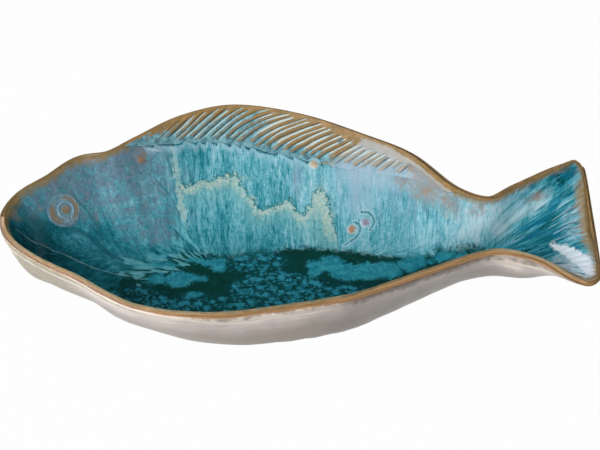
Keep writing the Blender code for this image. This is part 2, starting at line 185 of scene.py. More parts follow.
def sharesAt(cols, down):
    # shares w that lie these millimetres down the wall
    w = np.linspace(0, 2, cols["gone"].shape[1])
    return np.stack([np.interp(d, gone, w) for d, gone in zip(down, cols["gone"])])


def unit(v):
    return v / np.maximum(np.linalg.norm(v, axis=-1, keepdims=True), 1e-9)


def ramp(value, low, high):
    t = np.clip((value - low) / (high - low), 0, 1)
    return t * t * (3 - 2 * t)


def firm(mark):
    # a mark that is nothing stays nothing under a ragged edge
    return mark - 0.6 * (1 - ramp(mark, 0, 0.15))


def faceOf(cols, w, thinned=True):
    # inner face at the shares w, its normals into the bowl, and the way round the rim
    at = wallAt(cols, w)
    near = wallAt(cols, np.clip(w + 2e-3, 0, 2)) - wallAt(cols, np.clip(w - 2e-3, 0, 2))
    level = wallAt(cols, np.clip(w, 0, 1.998))
    along = unit(np.roll(level, -1, axis=0) - np.roll(level, 1, axis=0))
    normal = unit(np.cross(near, along))
    wander = slab["uneven"] * handWaves(at[..., 0], at[..., 1])
    if thinned:
        wander = wander - slab["thin"] * (1 - ramp(w, 0, slab["thinOver"]))
    return at + normal * wander[..., None], normal, along


def handWaves(x, y):
    return sum(share * np.sin(x / longX + y / longY + start) for share, longX, longY, start in slab["waves"])


def closeKeel(points):
    # the two columns of a pair start and end in one point of the keel
    mate = -np.arange(len(points)) % len(points)
    for row in (0, -1):
        points[:, row] = (points[:, row] + points[mate, row]) / 2


def fitToFrame():
    # the plain slab's own box against the packed clay body's
    cols = layStations(300)
    w = np.tile(np.linspace(0, 2, 61), (len(cols["rim"]), 1))
    at = wallAt(cols, w)
    _, normal, along = faceOf(cols, w)
    outer = at - normal * slab["clay"]
    up = np.cross(along[:, :1], normal[:, :1])
    half = (slab["clay"] - slab["thin"]) / 2
    top = at[:, :1] + up * half - normal[:, :1] * (slab["clay"] - half)
    every = np.concatenate([at, outer, top], axis=1).reshape(-1, 3)
    lo, hi = (np.array(corner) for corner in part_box("stoneware_body"))
    scale = (hi - lo) / (every.max(axis=0) - every.min(axis=0))
    return scale, lo - every.min(axis=0) * scale


frameScale, frameStart = fitToFrame()
print("slab fitted to the frame, metres per millimetre", frameScale)


def toFrame(points):
    return np.asarray(points) * frameScale + frameStart


def wrapGrid(name, points, marks):
    # a flat grid bent round the bowl, with its seam at the snout and its keel welded
    columns, rows = points.shape[:2]
    bm = bmesh.new()
    bmesh.ops.create_grid(bm, x_segments=columns, y_segments=rows - 1, size=0.5)
    mesh = bpy.data.meshes.new(name)
    bm.to_mesh(mesh)
    bm.free()
    flat = np.empty(len(mesh.vertices) * 3)
    mesh.vertices.foreach_get("co", flat)
    flat = flat.reshape(-1, 3)
    flat = (flat - flat.min(axis=0)) / np.maximum(np.ptp(flat, axis=0), 1e-9)
    i = np.rint(flat[:, 0] * columns).astype(int) % columns
    j = np.rint(flat[:, 1] * (rows - 1)).astype(int)
    mesh.vertices.foreach_set("co", toFrame(points[i, j]).ravel())
    for mark, values in marks.items():
        kind, key = ("FLOAT_VECTOR", "vector") if values.ndim == 3 else ("FLOAT", "value")
        mesh.attributes.new(mark, kind, "POINT").data.foreach_set(key, values[i, j].ravel())
    bm = bmesh.new()
    bm.from_mesh(mesh)
    bmesh.ops.remove_doubles(bm, verts=bm.verts, dist=1e-6)
    bmesh.ops.recalc_face_normals(bm, faces=bm.faces)
    return bm, mesh


def place(name, bm, material, node, mesh=None):
    # a finished piece stands for a CAD node, which it hides, and takes the finish it is given
    mesh = mesh or bpy.data.meshes.new(name)
    bm.to_mesh(mesh)
    bm.free()
    mesh.shade_smooth()
    mesh.materials.append(material)
    piece = bpy.data.objects.new(name, mesh)
    bpy.context.scene.collection.objects.link(piece)
    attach(piece, "root")
    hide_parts(node)
    print(name, "has", len(mesh.polygons), "faces")


# materials

def linear(hexColour):
    parts = [int(hexColour[k:k + 2], 16) / 255 for k in (1, 3, 5)]
    return [p / 12.92 if p <= 0.04045 else ((p + 0.055) / 1.055) ** 2.4 for p in parts] + [1.0]


def put(tree, kind, inputs=(), **settings):
    # adds one node: settings are its own, inputs are values or what is linked into its sockets
    node = tree.nodes.new("ShaderNode" + kind)
    for key, value in settings.items():
        setattr(node, key, value)
    for key, value in dict(inputs).items():
        if isinstance(value, bpy.types.Node):
            value = value.outputs[0]
        if isinstance(value, bpy.types.NodeSocket):
            tree.links.new(value, node.inputs[key])
        else:
            node.inputs[key].default_value = value
    return node


def newMaterial(name, **shader):
    material = bpy.data.materials.new(name)
    material.use_nodes = True
    tree = material.node_tree
    skin = tree.nodes["Principled BSDF"]
    for key, value in shader.items():
        skin.inputs[key.replace("_", " ")].default_value = value
    return material, tree, skin


def patterns(tree, table):
    # noises on an attribute's coordinates, or on object coordinates, sized in millimetres, about -1 to 1
    made = {}
    for key, (source, size, detail, bend) in table.items():
        if source == "Object":
            vector, unitLong = put(tree, "TexCoord").outputs["Object"], mm
        else:
            vector, unitLong = put(tree, "Attribute", attribute_name=source).outputs["Vector"], 1.0
        size = (*size, 1)[:3] if isinstance(size, tuple) else (size,) * 3
        turn = put(tree, "Mapping", {"Vector": vector, "Scale": [1 / (s * unitLong) for s in size]})
        if not detail:  # round cells: more than one in their middles, and what is given as bend between them
            wobble = put(tree, "TexNoise", {"Vector": turn, "Scale": 1.6, "Detail": 2.0}).outputs["Color"]
            turn = put(tree, "VectorMath", {0: wobble, 1: (0.9, 0.9, 0.9), 2: turn}, operation="MULTIPLY_ADD")
            cells = put(tree, "TexVoronoi", {"Vector": turn, "Scale": 1.0})
            made[key] = put(tree, "MapRange", {"Value": cells, "From Max": 0.5,
                                               "To Min": 1.2, "To Max": bend}, clamp=False)
            continue
        noise = put(tree, "TexNoise", {"Vector": turn, "Scale": 1.0, "Detail": detail, "Roughness": 0.6,
                                       "Distortion": bend})
        made[key] = put(tree, "MapRange", {"Value": noise, "From Min": 0.30, "From Max": 0.70,
                                           "To Min": -1.0, "To Max": 1.0}, clamp=False)
    return made


def twoTone(tree, noise, swing, first, second, most=1.0):
    # a colour that goes from the first to the second while the noise goes through its swing
    blend = put(tree, "MapRange", {"Value": noise, "From Min": -swing, "From Max": swing, "To Max": most})
    return put(tree, "Mix", {0: blend, 6: linear(first), 7: linear(second)}, data_type="RGBA").outputs[2]


def washes(tree, colour, noises, table):
    # one wash of colour after another, each where its mark, made ragged by a noise, lies in its band:
    # a band of two values fades in and stays, one of four fades out again
    for mark, noise, ragged, band, strength, first, *second in table:
        level = put(tree, "Attribute", attribute_name=mark).outputs["Fac"]
        level = put(tree, "Math", {0: noises[noise], 1: ragged, 2: level}, operation="MULTIPLY_ADD")
        cover = put(tree, "MapRange", {"Value": level, "From Min": band[0], "From Max": band[1],
                                       "To Max": strength}, interpolation_type="SMOOTHSTEP")
        if band[2:]:
            leave = put(tree, "MapRange", {"Value": level, "From Min": band[2], "From Max": band[3],
                                           "To Min": 1.0, "To Max": 0.0}, interpolation_type="SMOOTHSTEP")
            cover = put(tree, "Math", {0: cover, 1: leave}, operation="MULTIPLY")
        tone = linear(first)
        if second:
            other, grain = second
            tone = twoTone(tree, noises[grain], 0.7, first, other)
        colour = put(tree, "Mix", {0: cover, 6: colour, 7: tone}, data_type="RGBA").outputs[2]
    return colour


def coverSkin(tree, skin, colour, noise, glossy, dull):
    # colour, and a roughness that the noise moves between two values
    rough = put(tree, "MapRange", {"Value": noise, "From Min": -1.0, "From Max": 1.0,
                                   "To Min": glossy, "To Max": dull})
    tree.links.new(colour, skin.inputs["Base Color"])
    tree.links.new(rough.outputs[0], skin.inputs["Roughness"])


def rampOf(tree, level, stops):
    # colours along a level, with the two ends first
    scale = put(tree, "ValToRGB", {0: level})
    for k, (at, hexColour) in enumerate(stops):
        stop = scale.color_ramp.elements[k] if k < 2 else scale.color_ramp.elements.new(at)
        stop.position, stop.color = at, linear(hexColour)
    return scale.outputs[0]


# marks that say where the glaze lies thick, breaks or runs

glazeDrawing = {
    # how deep the glaze looks, 0 icy to 1 pool, and how much dusty bloom lies in it: x, y, depth, bloom
    "dabs": (
        (3, 6, .8, .1), (14, 17, .58, .55), (34, 38, .52, .75), (55, 46, .52, .8), (76, 54, .52, .85),
        (90, 62, .52, .95), (69, 32, .5, .65), (84, 40, .48, .7), (77, 14, .56, .35), (92, 24, .5, .5),
        (48, 28, .56, .55), (24, 11, .66, .25), (42, 4, .68, 0), (60, 4, .62, .05), (15, -5, .85, 0),
        (20, 2, .83, 0), (35, -18, .81, 0), (60, -30, .75, 0), (60, -52, .62, .1), (90, -5, .6, .05),
        (97, 53, .44, .6), (108, 43, .46, .6), (104, 30, .5, .6), (118, 36, .52, .2), (118, 60, .44, .3),
        (134, 62, .47, .05), (160, 62, .44, .05), (190, 58, .41, .15), (215, 52, .41, .25),
        (240, 48, .38, .45), (257, 44, .35, .55), (140, 42, .46, .05), (150, 20, .5, 0), (135, 8, .56, 0),
        (153, 7, .57, 0), (175, 7, .55, 0), (203, 12, .47, 0), (180, 22, .46, 0), (205, 22, .43, 0),
        (230, 14, .42, .05), (279, 32, .4, .3), (290, 36, .44, .15), (293, 14, .36, .1), (264, 14, .4, .1),
        (300, 26, .43, .2), (312, 16, .35, .15), (323, 5, .24, .15), (330, 10, .23, .35),
        (290, -20, .56, 0), (318, -14, .58, 0), (340, -14, .66, 0), (30, -36, .74, .1), (84, -66, .5, .2),
        (104, -76, .46, .15), (140, -78, .45, .05), (176, -76, .44, .05), (212, -70, .43, .1),
        (244, -62, .4, .2), (276, -50, .38, .3), (306, -38, .38, .3), (330, -30, .42, .2),
    ),
    "dabWide": 13,
    "smallDabs": (
        (341, -6, .48, 0), (349, 1, .22, 0), (356, 5, .26, 0), (363, 9, .36, 0), (334, 4, .12, .3),
        (344, 6, .06, .25), (351, 9, .1, .3), (355, 17, .28, .1), (367, 23, .4, .1), (382, 31, .56, 0),
        (361, 18, .3, .3), (374, 23, .4, .2), (371, 14, .14, .4), (381, 20, .22, .2), (385, 33, .92, 0),
        (393, 36, .9, 0), (378, 30, .74, 0), (396, 29, .66, 0), (392, 22, .64, 0), (388, 15, .62, 0),
        (383, 11, .64, 0), (397, 21, .5, .1), (352, -4, .5, 0), (360, 0, .48, 0), (370, 5, .56, 0),
        (377, 8, .6, 0), (366, -6, .6, 0), (376, -4, .68, 0), (383, -4, .74, 0), (390, -6, .62, .1),
        (372, -16, .74, 0), (382, -17, .78, 0), (389, -17, .64, .1), (396, 14, .34, .4), (398, 5, .3, .5),
        (399, -5, .32, .5), (399, -15, .34, .5), (399, -28, .52, .1), (402, 32, .42, .3),
        (390, -36, .08, .5), (399, -46, .05, .6), (405, -56, .05, .6), (395, -53, .05, .6),
        (386, -40, .1, .5), (16, 19, .5, .8), (16, 13, .56, .7), (24, 17, .54, .8), (30, 25, .52, .75),
        (13, 1, .87, 0), (21, 4, .84, 0), (29, 6, .78, 0), (35, 7, .66, 0), (44, 7, .34, .15),
        (51, 7, .38, .1), (57, 5, .48, 0), (47, 1, .68, 0), (62, 15, .78, 0), (66, 12, .78, 0),
        (71, 8, .7, 0), (76, 3, .68, 0), (72, -4, .56, 0), (56, 21, .46, .5), (62, 3, .64, 0),
        (66, -2, .6, 0), (365, -17, .78, 0), (378, -27, .52, 0), (396, -29, .5, .1), (372, -31, .55, 0),
        (356, -20, .74, 0),
    ),
    "smallDabWide": 6.0,
    # the dark pool's shore, head to tail and home again along the belly
    "pool": (
        (84, -20), (99, -13), (110, -8), (119, -1), (131, 1), (143, -1), (155, -3), (166, -7), (174, -7),
        (184, -2), (191, 3), (199, 5), (210, 6), (219, 5), (232, 3), (242, 2), (253, 0), (264, -2),
        (275, -4), (285, -4), (296, -4), (307, -2), (317, -3), (328, -3), (336, -5), (338, -14), (322, -24),
        (301, -28), (262, -42), (240, -50), (200, -60), (165, -63), (130, -62), (104, -58), (90, -52),
        (81, -42), (78, -31),
    ),
    "poolSpine": ((148, -22), (240, -13)),  # the runs near the pool point at this line
    "poolTurn": 45,  # millimetres for each radian round its ends
    "fanFrom": (312, -22),  # the tail's rays run from here
    "fanSpread": 80,  # millimetres for each radian between them
    # lines from head to tail with glaze below them: the pale break's upper edge, the shade under the eye
    "edges": {
        "break": (
            (119, 50), (123, 48), (129, 51), (134, 52), (139, 52), (144, 55), (152, 57), (159, 58),
            (164, 50), (168, 46), (171, 42), (176, 36), (179, 34), (188, 38), (194, 39), (198, 42),
            (203, 34), (208, 30), (214, 38), (217, 44), (220, 47), (225, 43), (228, 35), (230, 24),
            (233, 17),
        ),
        "underEye": ((9, 7), (21, 10), (39, 12), (48, 12), (56, 10), (63, 5), (72, -4), (81, -8)),
    },
    # runs and pressed lines, each of one line or more; a painted highlight along the tail's lower lobe
    "lines": {
        "gillStreak": (((113, 70), (115, 62), (117, 52), (119, 40), (122, 31), (124, 21)),),
        "mouth": (
            ((5, -6), (14, -5), (21, -3.5), (27, -3.5), (35, -6.5), (50, -14.5), (60, -18.5), (73, -21.5),
             (93, -25)),
        ),
        "pressed": (  # cheek and gill cover
            ((42, 33), (48, 27), (54, 24), (60, 18), (64, 9), (70, -4), (75, -14)),
            ((100, 50), (111, 43), (116, 36), (119, 30), (120, 21), (117, 12)),
        ),
        "lobe": (((384, -18), (391, -26), (397, -36), (402, -46), (407, -57)),),
        "whiteRay": (
            ((383, -1), (399, 4)), ((384, -15), (398, -15)), ((386, -9), (398, -6)), ((389, 12), (401, 22)),
            ((393, 21), (403, 33)), ((386, 5), (399, 11)),
        ),
        "halo": (  # round the flank's pips
            ((251, 30), (256, 29.5), (259, 27), (260.5, 23), (257, 18)),
            ((246, 24), (249, 23), (250.5, 19.5), (249, 16), (246, 13), (239, 8)),
        ),
    },
    # ovals: x, y, half length, half width, degrees
    "ovals": {
        "island": (  # pale ones in the pool
            (121, -25, 10, 9, 0), (132, -24, 8, 3, 0), (105, -26, 9, 5, 10), (138, -9, 14, 3.2, -22),
            (149, -14, 5, 5, 0), (147, -7, 7, 2.4, -10), (132, -40, 6, 2.4, 0), (109, -11, 8, 3, 0),
            (218, -15, 7, 9, 0), (229, -11, 10, 9, 0), (240, -19, 13, 9, 0), (254, -18, 14, 9, 0),
            (268, -17, 13, 9, 10), (286, -11, 13, 7, 20), (307, -7, 12, 4, 10), (324, -8, 12, 3, 0),
        ),
        "darkSpot": ((226, -29, 13, 4, 0), (254, -31, 11, 4, 10)),
        "feather": (
            (112, -8, 26, 10, 20), (90, -18, 16, 12, 0), (128, 2, 12, 7, 20), (121, 14, 8, 15, 20),
        ),
        "cell": (  # specks over the floor and the belly's wall
            (192, -38, 38, 22, 0), (140, -50, 40, 10, 0), (230, -46, 30, 14, 20), (176, -9, 22, 12, 0),
            (100, -46, 24, 12, -30),
        ),
        "tailPale": ((355, 9, 28, 8, 27),),  # hardly any dark strokes here
    },
    # soft ovals, the same with their strength: rust where the glaze is thin, milky white, froth, blue
    "clouds": {
        "rust": (
            (91, 60, 9, 8, 0, .65), (282, 43, 18, 8, -35, .8), (298, 31.5, 21, 9, -42, 1.2),
            (313, 19, 17, 8, -40, 1.1), (332, 10, 11, 5, 0, .8), (376, 23, 17, 4.2, 22, 1),
            (392, 41, 14, 5, 12, .5), (60, 22, 3, 6, 20, .4), (21, 16, 2.2, 2.2, 0, .7),
            (4, 4, 8, 8, 0, .5),
        ),
        "milk": (
            (377, 19, 9, 4, 30, 1.1), (363, 13, 18, 5, 28, .8), (349, 4, 12, 5, 25, .6),
            (328, 4, 20, 7, 5, .65), (215, 50, 1.8, 12, 5, .7), (100, 65, 12, 1.6, 8, .7),
        ),
        "froth": (
            (221, 38, 9, 18, -8, 1), (227, 27, 8, 14, 0, .8), (152, 53, 30, 6, 8, .8),
            (128, 47, 10, 5, 0, .7), (172, 42, 9, 5, -50, .8), (196, 36, 12, 5, 10, .8),
        ),
        "blue": (
            (352, -5, 18, 4, 16, .7), (373, 6, 16, 4.5, 14, .9), (388, 17, 10, 7, 45, 1),
            (392, 28, 8, 8, 0, .5), (397, 38, 9, 5, 0, .6), (370, -3, 18, 4.5, 0, .8),
            (384, -8, 13, 6, -20, .8), (398, -30, 5, 8, 0, .8),
        ),
    },
    # fades along the fish, from and to
    "bloomOut": (130, 170), "lilacIn": (150, 200), "headOut": (95, 125), "poolHeadOut": (85, 125),
    "poolRunsOut": (290, 315), "lobeIn": (384, 402), "breakNarrow": (200, 212), "tailIn": (326, 356),
    "tailLean": (0.35, -8),  # the tail's look starts further back towards the back: slope, and from this y
    "headShare": 0.7, "breakLess": 0.8, "paleLess": 0.55, "paleEdge": (-3, 3), "lobeWide": 3.4,
    "flat": 3,  # feathers and cells are as full this far inside as in their middle
    "poolRuns": (-20, -3), "poolRunsHead": 14,  # millimetres off the pool, and further off towards the head
    "endIn": 1, "endCorner": 5, "endLower": (15, 45), "endUpper": (20, 38),  # tail's end, off its two corners
}


def lineFrom(x, y, points):
    # millimetres from an open line
    best = np.full(x.shape, 1e6)
    for (ax, ay), (bx, by) in zip(points, points[1:]):
        t = np.clip(((x - ax) * (bx - ax) + (y - ay) * (by - ay)) / ((bx - ax) ** 2 + (by - ay) ** 2), 0, 1)
        best = np.minimum(best, np.hypot(x - ax - t * (bx - ax), y - ay - t * (by - ay)))
    return best


def belowLine(x, y, points):
    # the same, positive on the belly's side of a line that runs from head to tail, negative past its ends
    px, py = np.array(points, float).T
    under = (np.interp(x, px, py) > y) & (x > px[0]) & (x < px[-1])
    return np.where(under, 1, -1) * lineFrom(x, y, points)


def within(x, y, loop):
    # millimetres inside a closed line, negative outside it
    inside = np.zeros(x.shape, bool)
    for (ax, ay), (bx, by) in zip(loop, loop[1:] + loop[:1]):
        if ay != by:
            inside ^= ((ay > y) != (by > y)) & (x < ax + (bx - ax) * (y - ay) / (by - ay))
    return np.where(inside, 1, -1) * lineFrom(x, y, loop + loop[:1])


def inOval(x, y, cx, cy, half, wide, turn):
    # place in an oval, 1 at its rim both ways
    c, s = math.cos(math.radians(turn)), math.sin(math.radians(turn))
    return ((x - cx) * c + (y - cy) * s) / half, ((y - cy) * c - (x - cx) * s) / wide


def spots(x, y, table):
    # millimetres inside the nearest of some ovals
    best = np.full(x.shape, -1e3)
    for oval in table:
        best = np.maximum(best, (1 - np.hypot(*inOval(x, y, *oval))) * oval[3])
    return best


def clouds(x, y, table):
    # soft ovals, each with its strength, well below nothing outside them
    best = np.full(x.shape, -0.8)
    for *oval, strength in table:
        u, v = inOval(x, y, *oval)
        best = np.maximum(best, 1.8 * np.exp(-(u**2 + v**2)) - 1.4 + 0.6 * strength)
    return best


def roundSpine(x, y, spine, turn):
    # millimetres along a short line, turned round its ends, and millimetres away from it
    (ax, ay), (bx, by) = spine
    long = math.hypot(bx - ax, by - ay)
    c, s = (bx - ax) / long, (by - ay) / long
    u, v = (x - ax) * c + (y - ay) * s, (y - ay) * c - (x - ax) * s
    past = u - np.clip(u, 0, long)
    return np.clip(u, 0, long) + turn * np.arctan2(past, np.abs(v) + 1e-6), np.hypot(past, v)


def glazeMarks(x, y, down, edge, root, arc):
    draw = glazeDrawing
    total, depth, bloom = 1e-9, 0, 0
    for table, wide in (("dabs", "dabWide"), ("smallDabs", "smallDabWide")):
        for dx, dy, deep, pale in draw[table]:
            weight = np.exp(-((x - dx) ** 2 + (y - dy) ** 2) / draw[wide] ** 2) + 1e-7
            total, depth, bloom = total + weight, depth + weight * deep, bloom + weight * pale
    depth, bloom = depth / total, bloom / total
    fx, fy = x - draw["fanFrom"][0], y - draw["fanFrom"][1]
    turned, away = roundSpine(x, y, draw["poolSpine"], draw["poolTurn"])
    still = np.zeros(x.shape)
    lean, leanFrom = draw["tailLean"]
    marks = {
        "flow": np.stack([arc, down, still], axis=-1),
        "fan": np.stack([np.arctan2(fy, fx) * draw["fanSpread"], np.hypot(fx, fy), still], axis=-1),
        "swirl": np.stack([turned, away, still], axis=-1),
        "depth": depth,
        "bloom": firm(bloom * (1 - ramp(x, *draw["bloomOut"]))),
        "lilac": firm(bloom * ramp(x, *draw["lilacIn"])),
        "head": draw["headShare"] * (1 - ramp(x, *draw["headOut"])),
        "tail": ramp(x - lean * (y - leanFrom), *draw["tailIn"]),
        "end": slab["long"] - draw["endIn"] - x
               + draw["endCorner"] * (ramp(-y, *draw["endLower"]) + ramp(y, *draw["endUpper"])),
        "pool": within(x, y, draw["pool"]),
        "edge": edge,
        "root": root,
    }
    for key, table in draw["ovals"].items():
        marks[key] = spots(x, y, table)
    for key, table in draw["clouds"].items():
        marks[key] = clouds(x, y, table)
    for key, lines in draw["lines"].items():
        marks[key] = np.minimum.reduce([lineFrom(x, y, line) for line in lines])
    for key, line in draw["edges"].items():
        marks[key] = belowLine(x, y, line)
    for key in ("feather", "cell"):
        marks[key] = np.minimum(marks[key], draw["flat"])
    tear = marks["break"]
    marks["break"] = np.where(tear > 0, tear / (1 + draw["breakLess"] * ramp(x, *draw["breakNarrow"])), tear)
    marks["lobe"] = marks["lobe"] - draw["lobeWide"] * ramp(x, *draw["lobeIn"])
    pale = ramp(marks.pop("tailPale"), *draw["paleEdge"])
    marks["stroke"] = marks["tail"] * (1 - draw["paleLess"] * pale)
    far, near = draw["poolRuns"]
    far = far - draw["poolRunsHead"] * (1 - ramp(x, *draw["poolHeadOut"]))
    marks["nearPool"] = ramp(marks["pool"], far, near) * (1 - ramp(x, *draw["poolRunsOut"]))
    return marks


def glazeMaterial():
    # reactive stoneware glaze, poured and fired: glassy, streaked where it ran, icy where it is thin,
    # bottle green where it pooled, rusty where it broke over an edge
    material, tree, skin = newMaterial("reactive_turquoise_glaze", IOR=1.5, Specular_IOR_Level=0.08)
    noises = patterns(tree, {
        "fine": ("flow", (0.9, 4.8), 4.0, 0.6),  # threads of the run glaze
        "broad": ("flow", (3.2, 18), 3.0, 0.9),
        "wide": ("flow", (9, 70), 2.0, 0.5),
        "vein": ("flow", (4.6, 34), 3.0, 0.6),
        "headFine": ("Object", 1.7, 4.0, 0.8),  # mottled on the head
        "headBroad": ("Object", 6, 4.0, 1.2),
        "swirlFine": ("swirl", (1.3, 9), 3.0, 0.5),
        "swirlBroad": ("swirl", (2.8, 12), 2.0, 0.6),
        "plume": ("swirl", (4.6, 15), 1.0, 0.5),
        "fanFine": ("fan", (1.3, 20), 3.0, 0.3),
        "fanBroad": ("fan", (4.4, 34), 2.0, 0.5),
        "fanStroke": ("fan", (2.9, 17), 2.0, 0.6),
        "grain": ("Object", 1.3, 2.0, 0.0),
        "tear": ("Object", 4.5, 4.0, 0.8),
        "jag": ("Object", 3.2, 3.0, 0.4),
        "blob": ("Object", 7, 2.0, 1.2),
        "cells": ("Object", (5.2, 4.6, 5.2), 0, 0.05),  # round ones on the floor
        "flecks": ("Object", (3.4, 2.8, 3.4), 0, 0.0),
        "foam": ("Object", (2.4, 1.8, 2.4), 0.6, 0.4),
        "mottle": ("Object", 6, 3.0, 0.6),
        "cloud": ("Object", 22, 2.0, 0.0),
    })
    head, nearPool, tail, depth = (put(tree, "Attribute", attribute_name=key).outputs["Fac"]
                                   for key in ("head", "nearPool", "tail", "depth"))
    # the threads and runs turn round the pool and fan out in the tail; on the head they are mottled
    for way, share in (("head", head), ("swirl", nearPool), ("fan", tail)):
        for key in ("fine", "broad"):
            other = noises[way + key.capitalize()].outputs[0]
            noises[key] = put(tree, "Mix", {0: share, 2: noises[key].outputs[0], 3: other})
    # how much each noise moves the depth, on the body and in the tail
    for key, calm, wild in (("fine", 0.11, 0.15), ("broad", 0.13, 0.22), ("wide", 0.10, 0.0),
                            ("tear", 0.06, 0.05), ("grain", 0.05, 0.03)):
        swing = put(tree, "MapRange", {"Value": tail, "To Min": calm, "To Max": wild})
        depth = put(tree, "Math", {0: noises[key], 1: swing, 2: depth}, operation="MULTIPLY_ADD")
    # dark veins where their noise passes through nothing
    vein = put(tree, "Math", {0: noises["vein"]}, operation="ABSOLUTE")
    vein = put(tree, "MapRange", {"Value": vein, "From Max": 0.11, "To Min": 0.19, "To Max": 0.0})
    depth = put(tree, "Math", {0: depth, 1: vein}, operation="ADD")
    colour = rampOf(tree, depth, (
        (0.0, "#bccbd1"), (1.0, "#02322d"), (0.15, "#9dc0ca"), (0.30, "#7cb0bc"), (0.45, "#5097a4"),
        (0.60, "#2a7b89"), (0.75, "#0f616e"), (0.88, "#085059"),
    ))
    colour = washes(tree, colour, noises, (
        # mark, noise, how ragged, band, strength, colour, and a second one with the noise between them
        ("bloom", "mottle", 0.35, (0.1, 1.0), 0.8, "#4c606c", "#727a8d", "tear"),
        ("lilac", "wide", 0.35, (0.1, 0.9), 0.6, "#99a6c0", "#a9c0cc", "fine"),
        ("break", "fine", 4.0, (0.0, 3.0, 3.0, 18.0), 0.36, "#86b3ad", "#6fa5a2", "fine"),
        ("froth", "foam", 0.45, (0.2, 1.0), 0.5, "#b6c0b2", "#93aca4", "jag"),
        ("break", "jag", 2.4, (0.0, 0.8, 1.2, 5.2), 0.7, "#bac2b3", "#86a7a0", "foam"),
        ("break", "jag", 2.4, (-1.5, -1.0, -0.3, 0.2), 0.7, "#1d5c56"),
        ("gillStreak", "tear", 2.4, (-6, -5, 0.5, 3.0), 0.62, "#b4c3b4", "#8fb6b8", "fine"),
        ("blue", "broad", 0.35, (0.15, 0.85), 0.88, "#0f7490", "#0a5870", "fine"),
        ("stroke", "fanStroke", 0.9, (1.1, 1.4), 0.75, "#0b5468", "#126c80", "fine"),
        ("tail", "fanStroke", -0.9, (1.2, 1.5), 0.5, "#5fb0c2", "#2590aa", "fine"),
        ("whiteRay", "fine", 0.6, (-2, -1, 0.1, 0.9), 0.4, "#a9bfcb", "#8fb0bd", "fine"),
        ("milk", "broad", 0.4, (0.2, 0.9), 0.7, "#b9cfd3", "#9cc0c6", "fine"),
        # painted highlight: a white reflection along the tail's lower lobe
        ("lobe", "tear", 1.3, (-19, -18, 0.6, 2.6), 0.95, "#d9dfe6", "#c2d0da", "fanFine"),
        ("halo", "grain", 0.35, (-2, -1, 0.3, 0.9), 0.75, "#1f6570"),
        ("halo", "grain", 0.35, (0.6, 1.0, 1.3, 2.4), 0.3, "#bfd3d6"),
        ("pool", "tear", 2.4, (-3.6, 2.6), 1.0, "#02332d", "#033b36", "mottle"),
        ("cell", "mottle", 2.0, (-4.0, 4.0), 0.85, "#06454c", "#033b3a", "blob"),
        ("feather", "plume", 6.0, (1.4, 4.6), 0.9, "#3a8f9b", "#6dafb8", "swirlFine"),
        ("feather", "plume", -6.0, (3.6, 6.6), 0.6, "#0b4750", "#14606b", "swirlFine"),
        ("island", "blob", 2.0, (-1.6, 2.4), 0.95, "#156f85", "#35939f", "tear"),
        ("darkSpot", "blob", 2.4, (-1.0, 1.6), 0.95, "#03363a"),
        ("cell", "cells", 4.0, (2.3, 4.9), 0.85, "#156578", "#2f8da0", "mottle"),
        ("cell", "flecks", 4.0, (3.4, 6.0), 0.6, "#3f97a6", "#2b8499", "mottle"),
        ("mouth", "fine", 0.3, (-2, -1, 0.0, 0.65), 0.75, "#8cb0b2"),
        ("pressed", "grain", 0.4, (-2, -1, 0.2, 1.3), 0.5, "#1f5f6a"),
        ("underEye", "headFine", 0.8, (-0.7, 0.5, 1.8, 5.6), 0.68, "#0d4955", "#165f6b", "fine"),
        ("finEnd", "broad", 0.4, (0.15, 1.0), 0.5, "#97b2c2", "#a8b8c6", "tear"),
        ("rust", "headBroad", 0.40, (0.0, 1.2), 0.78, "#8a6b4a", "#75828a", "tear"),
        # under the fin's stepped glaze edge: pale glaze with a painted highlight on its tops, then along the
        # edge thick dark glaze with a painted shadow line
        ("root", "broad", 1.5, (1.2, 2.4, 3.0, 9.0), 0.45, "#9cc8cc", "#a6b8cf", "fine"),
        ("root", "tear", 1.6, (-5, -4, 0.5, 1.9), 0.85, "#0f4852", "#1d6670", "tear"),
        ("end", "fanFine", 4.0, (-9, -8, 2.8, 9.5), 0.9, "#86703f", "#a8927a", "fanFine"),
        ("edge", "tear", 1.4, (-4, -3, 0.3, 4.6), 0.85, "#776339", "#8a7044", "mottle"),
    ))
    coverSkin(tree, skin, colour, noises["mottle"], 0.16, 0.28)
    ripple = put(tree, "Bump", {"Height": noises["cloud"], "Strength": 0.25, "Distance": 0.4 * mm})
    tree.links.new(ripple.outputs[0], skin.inputs["Normal"])
    return material


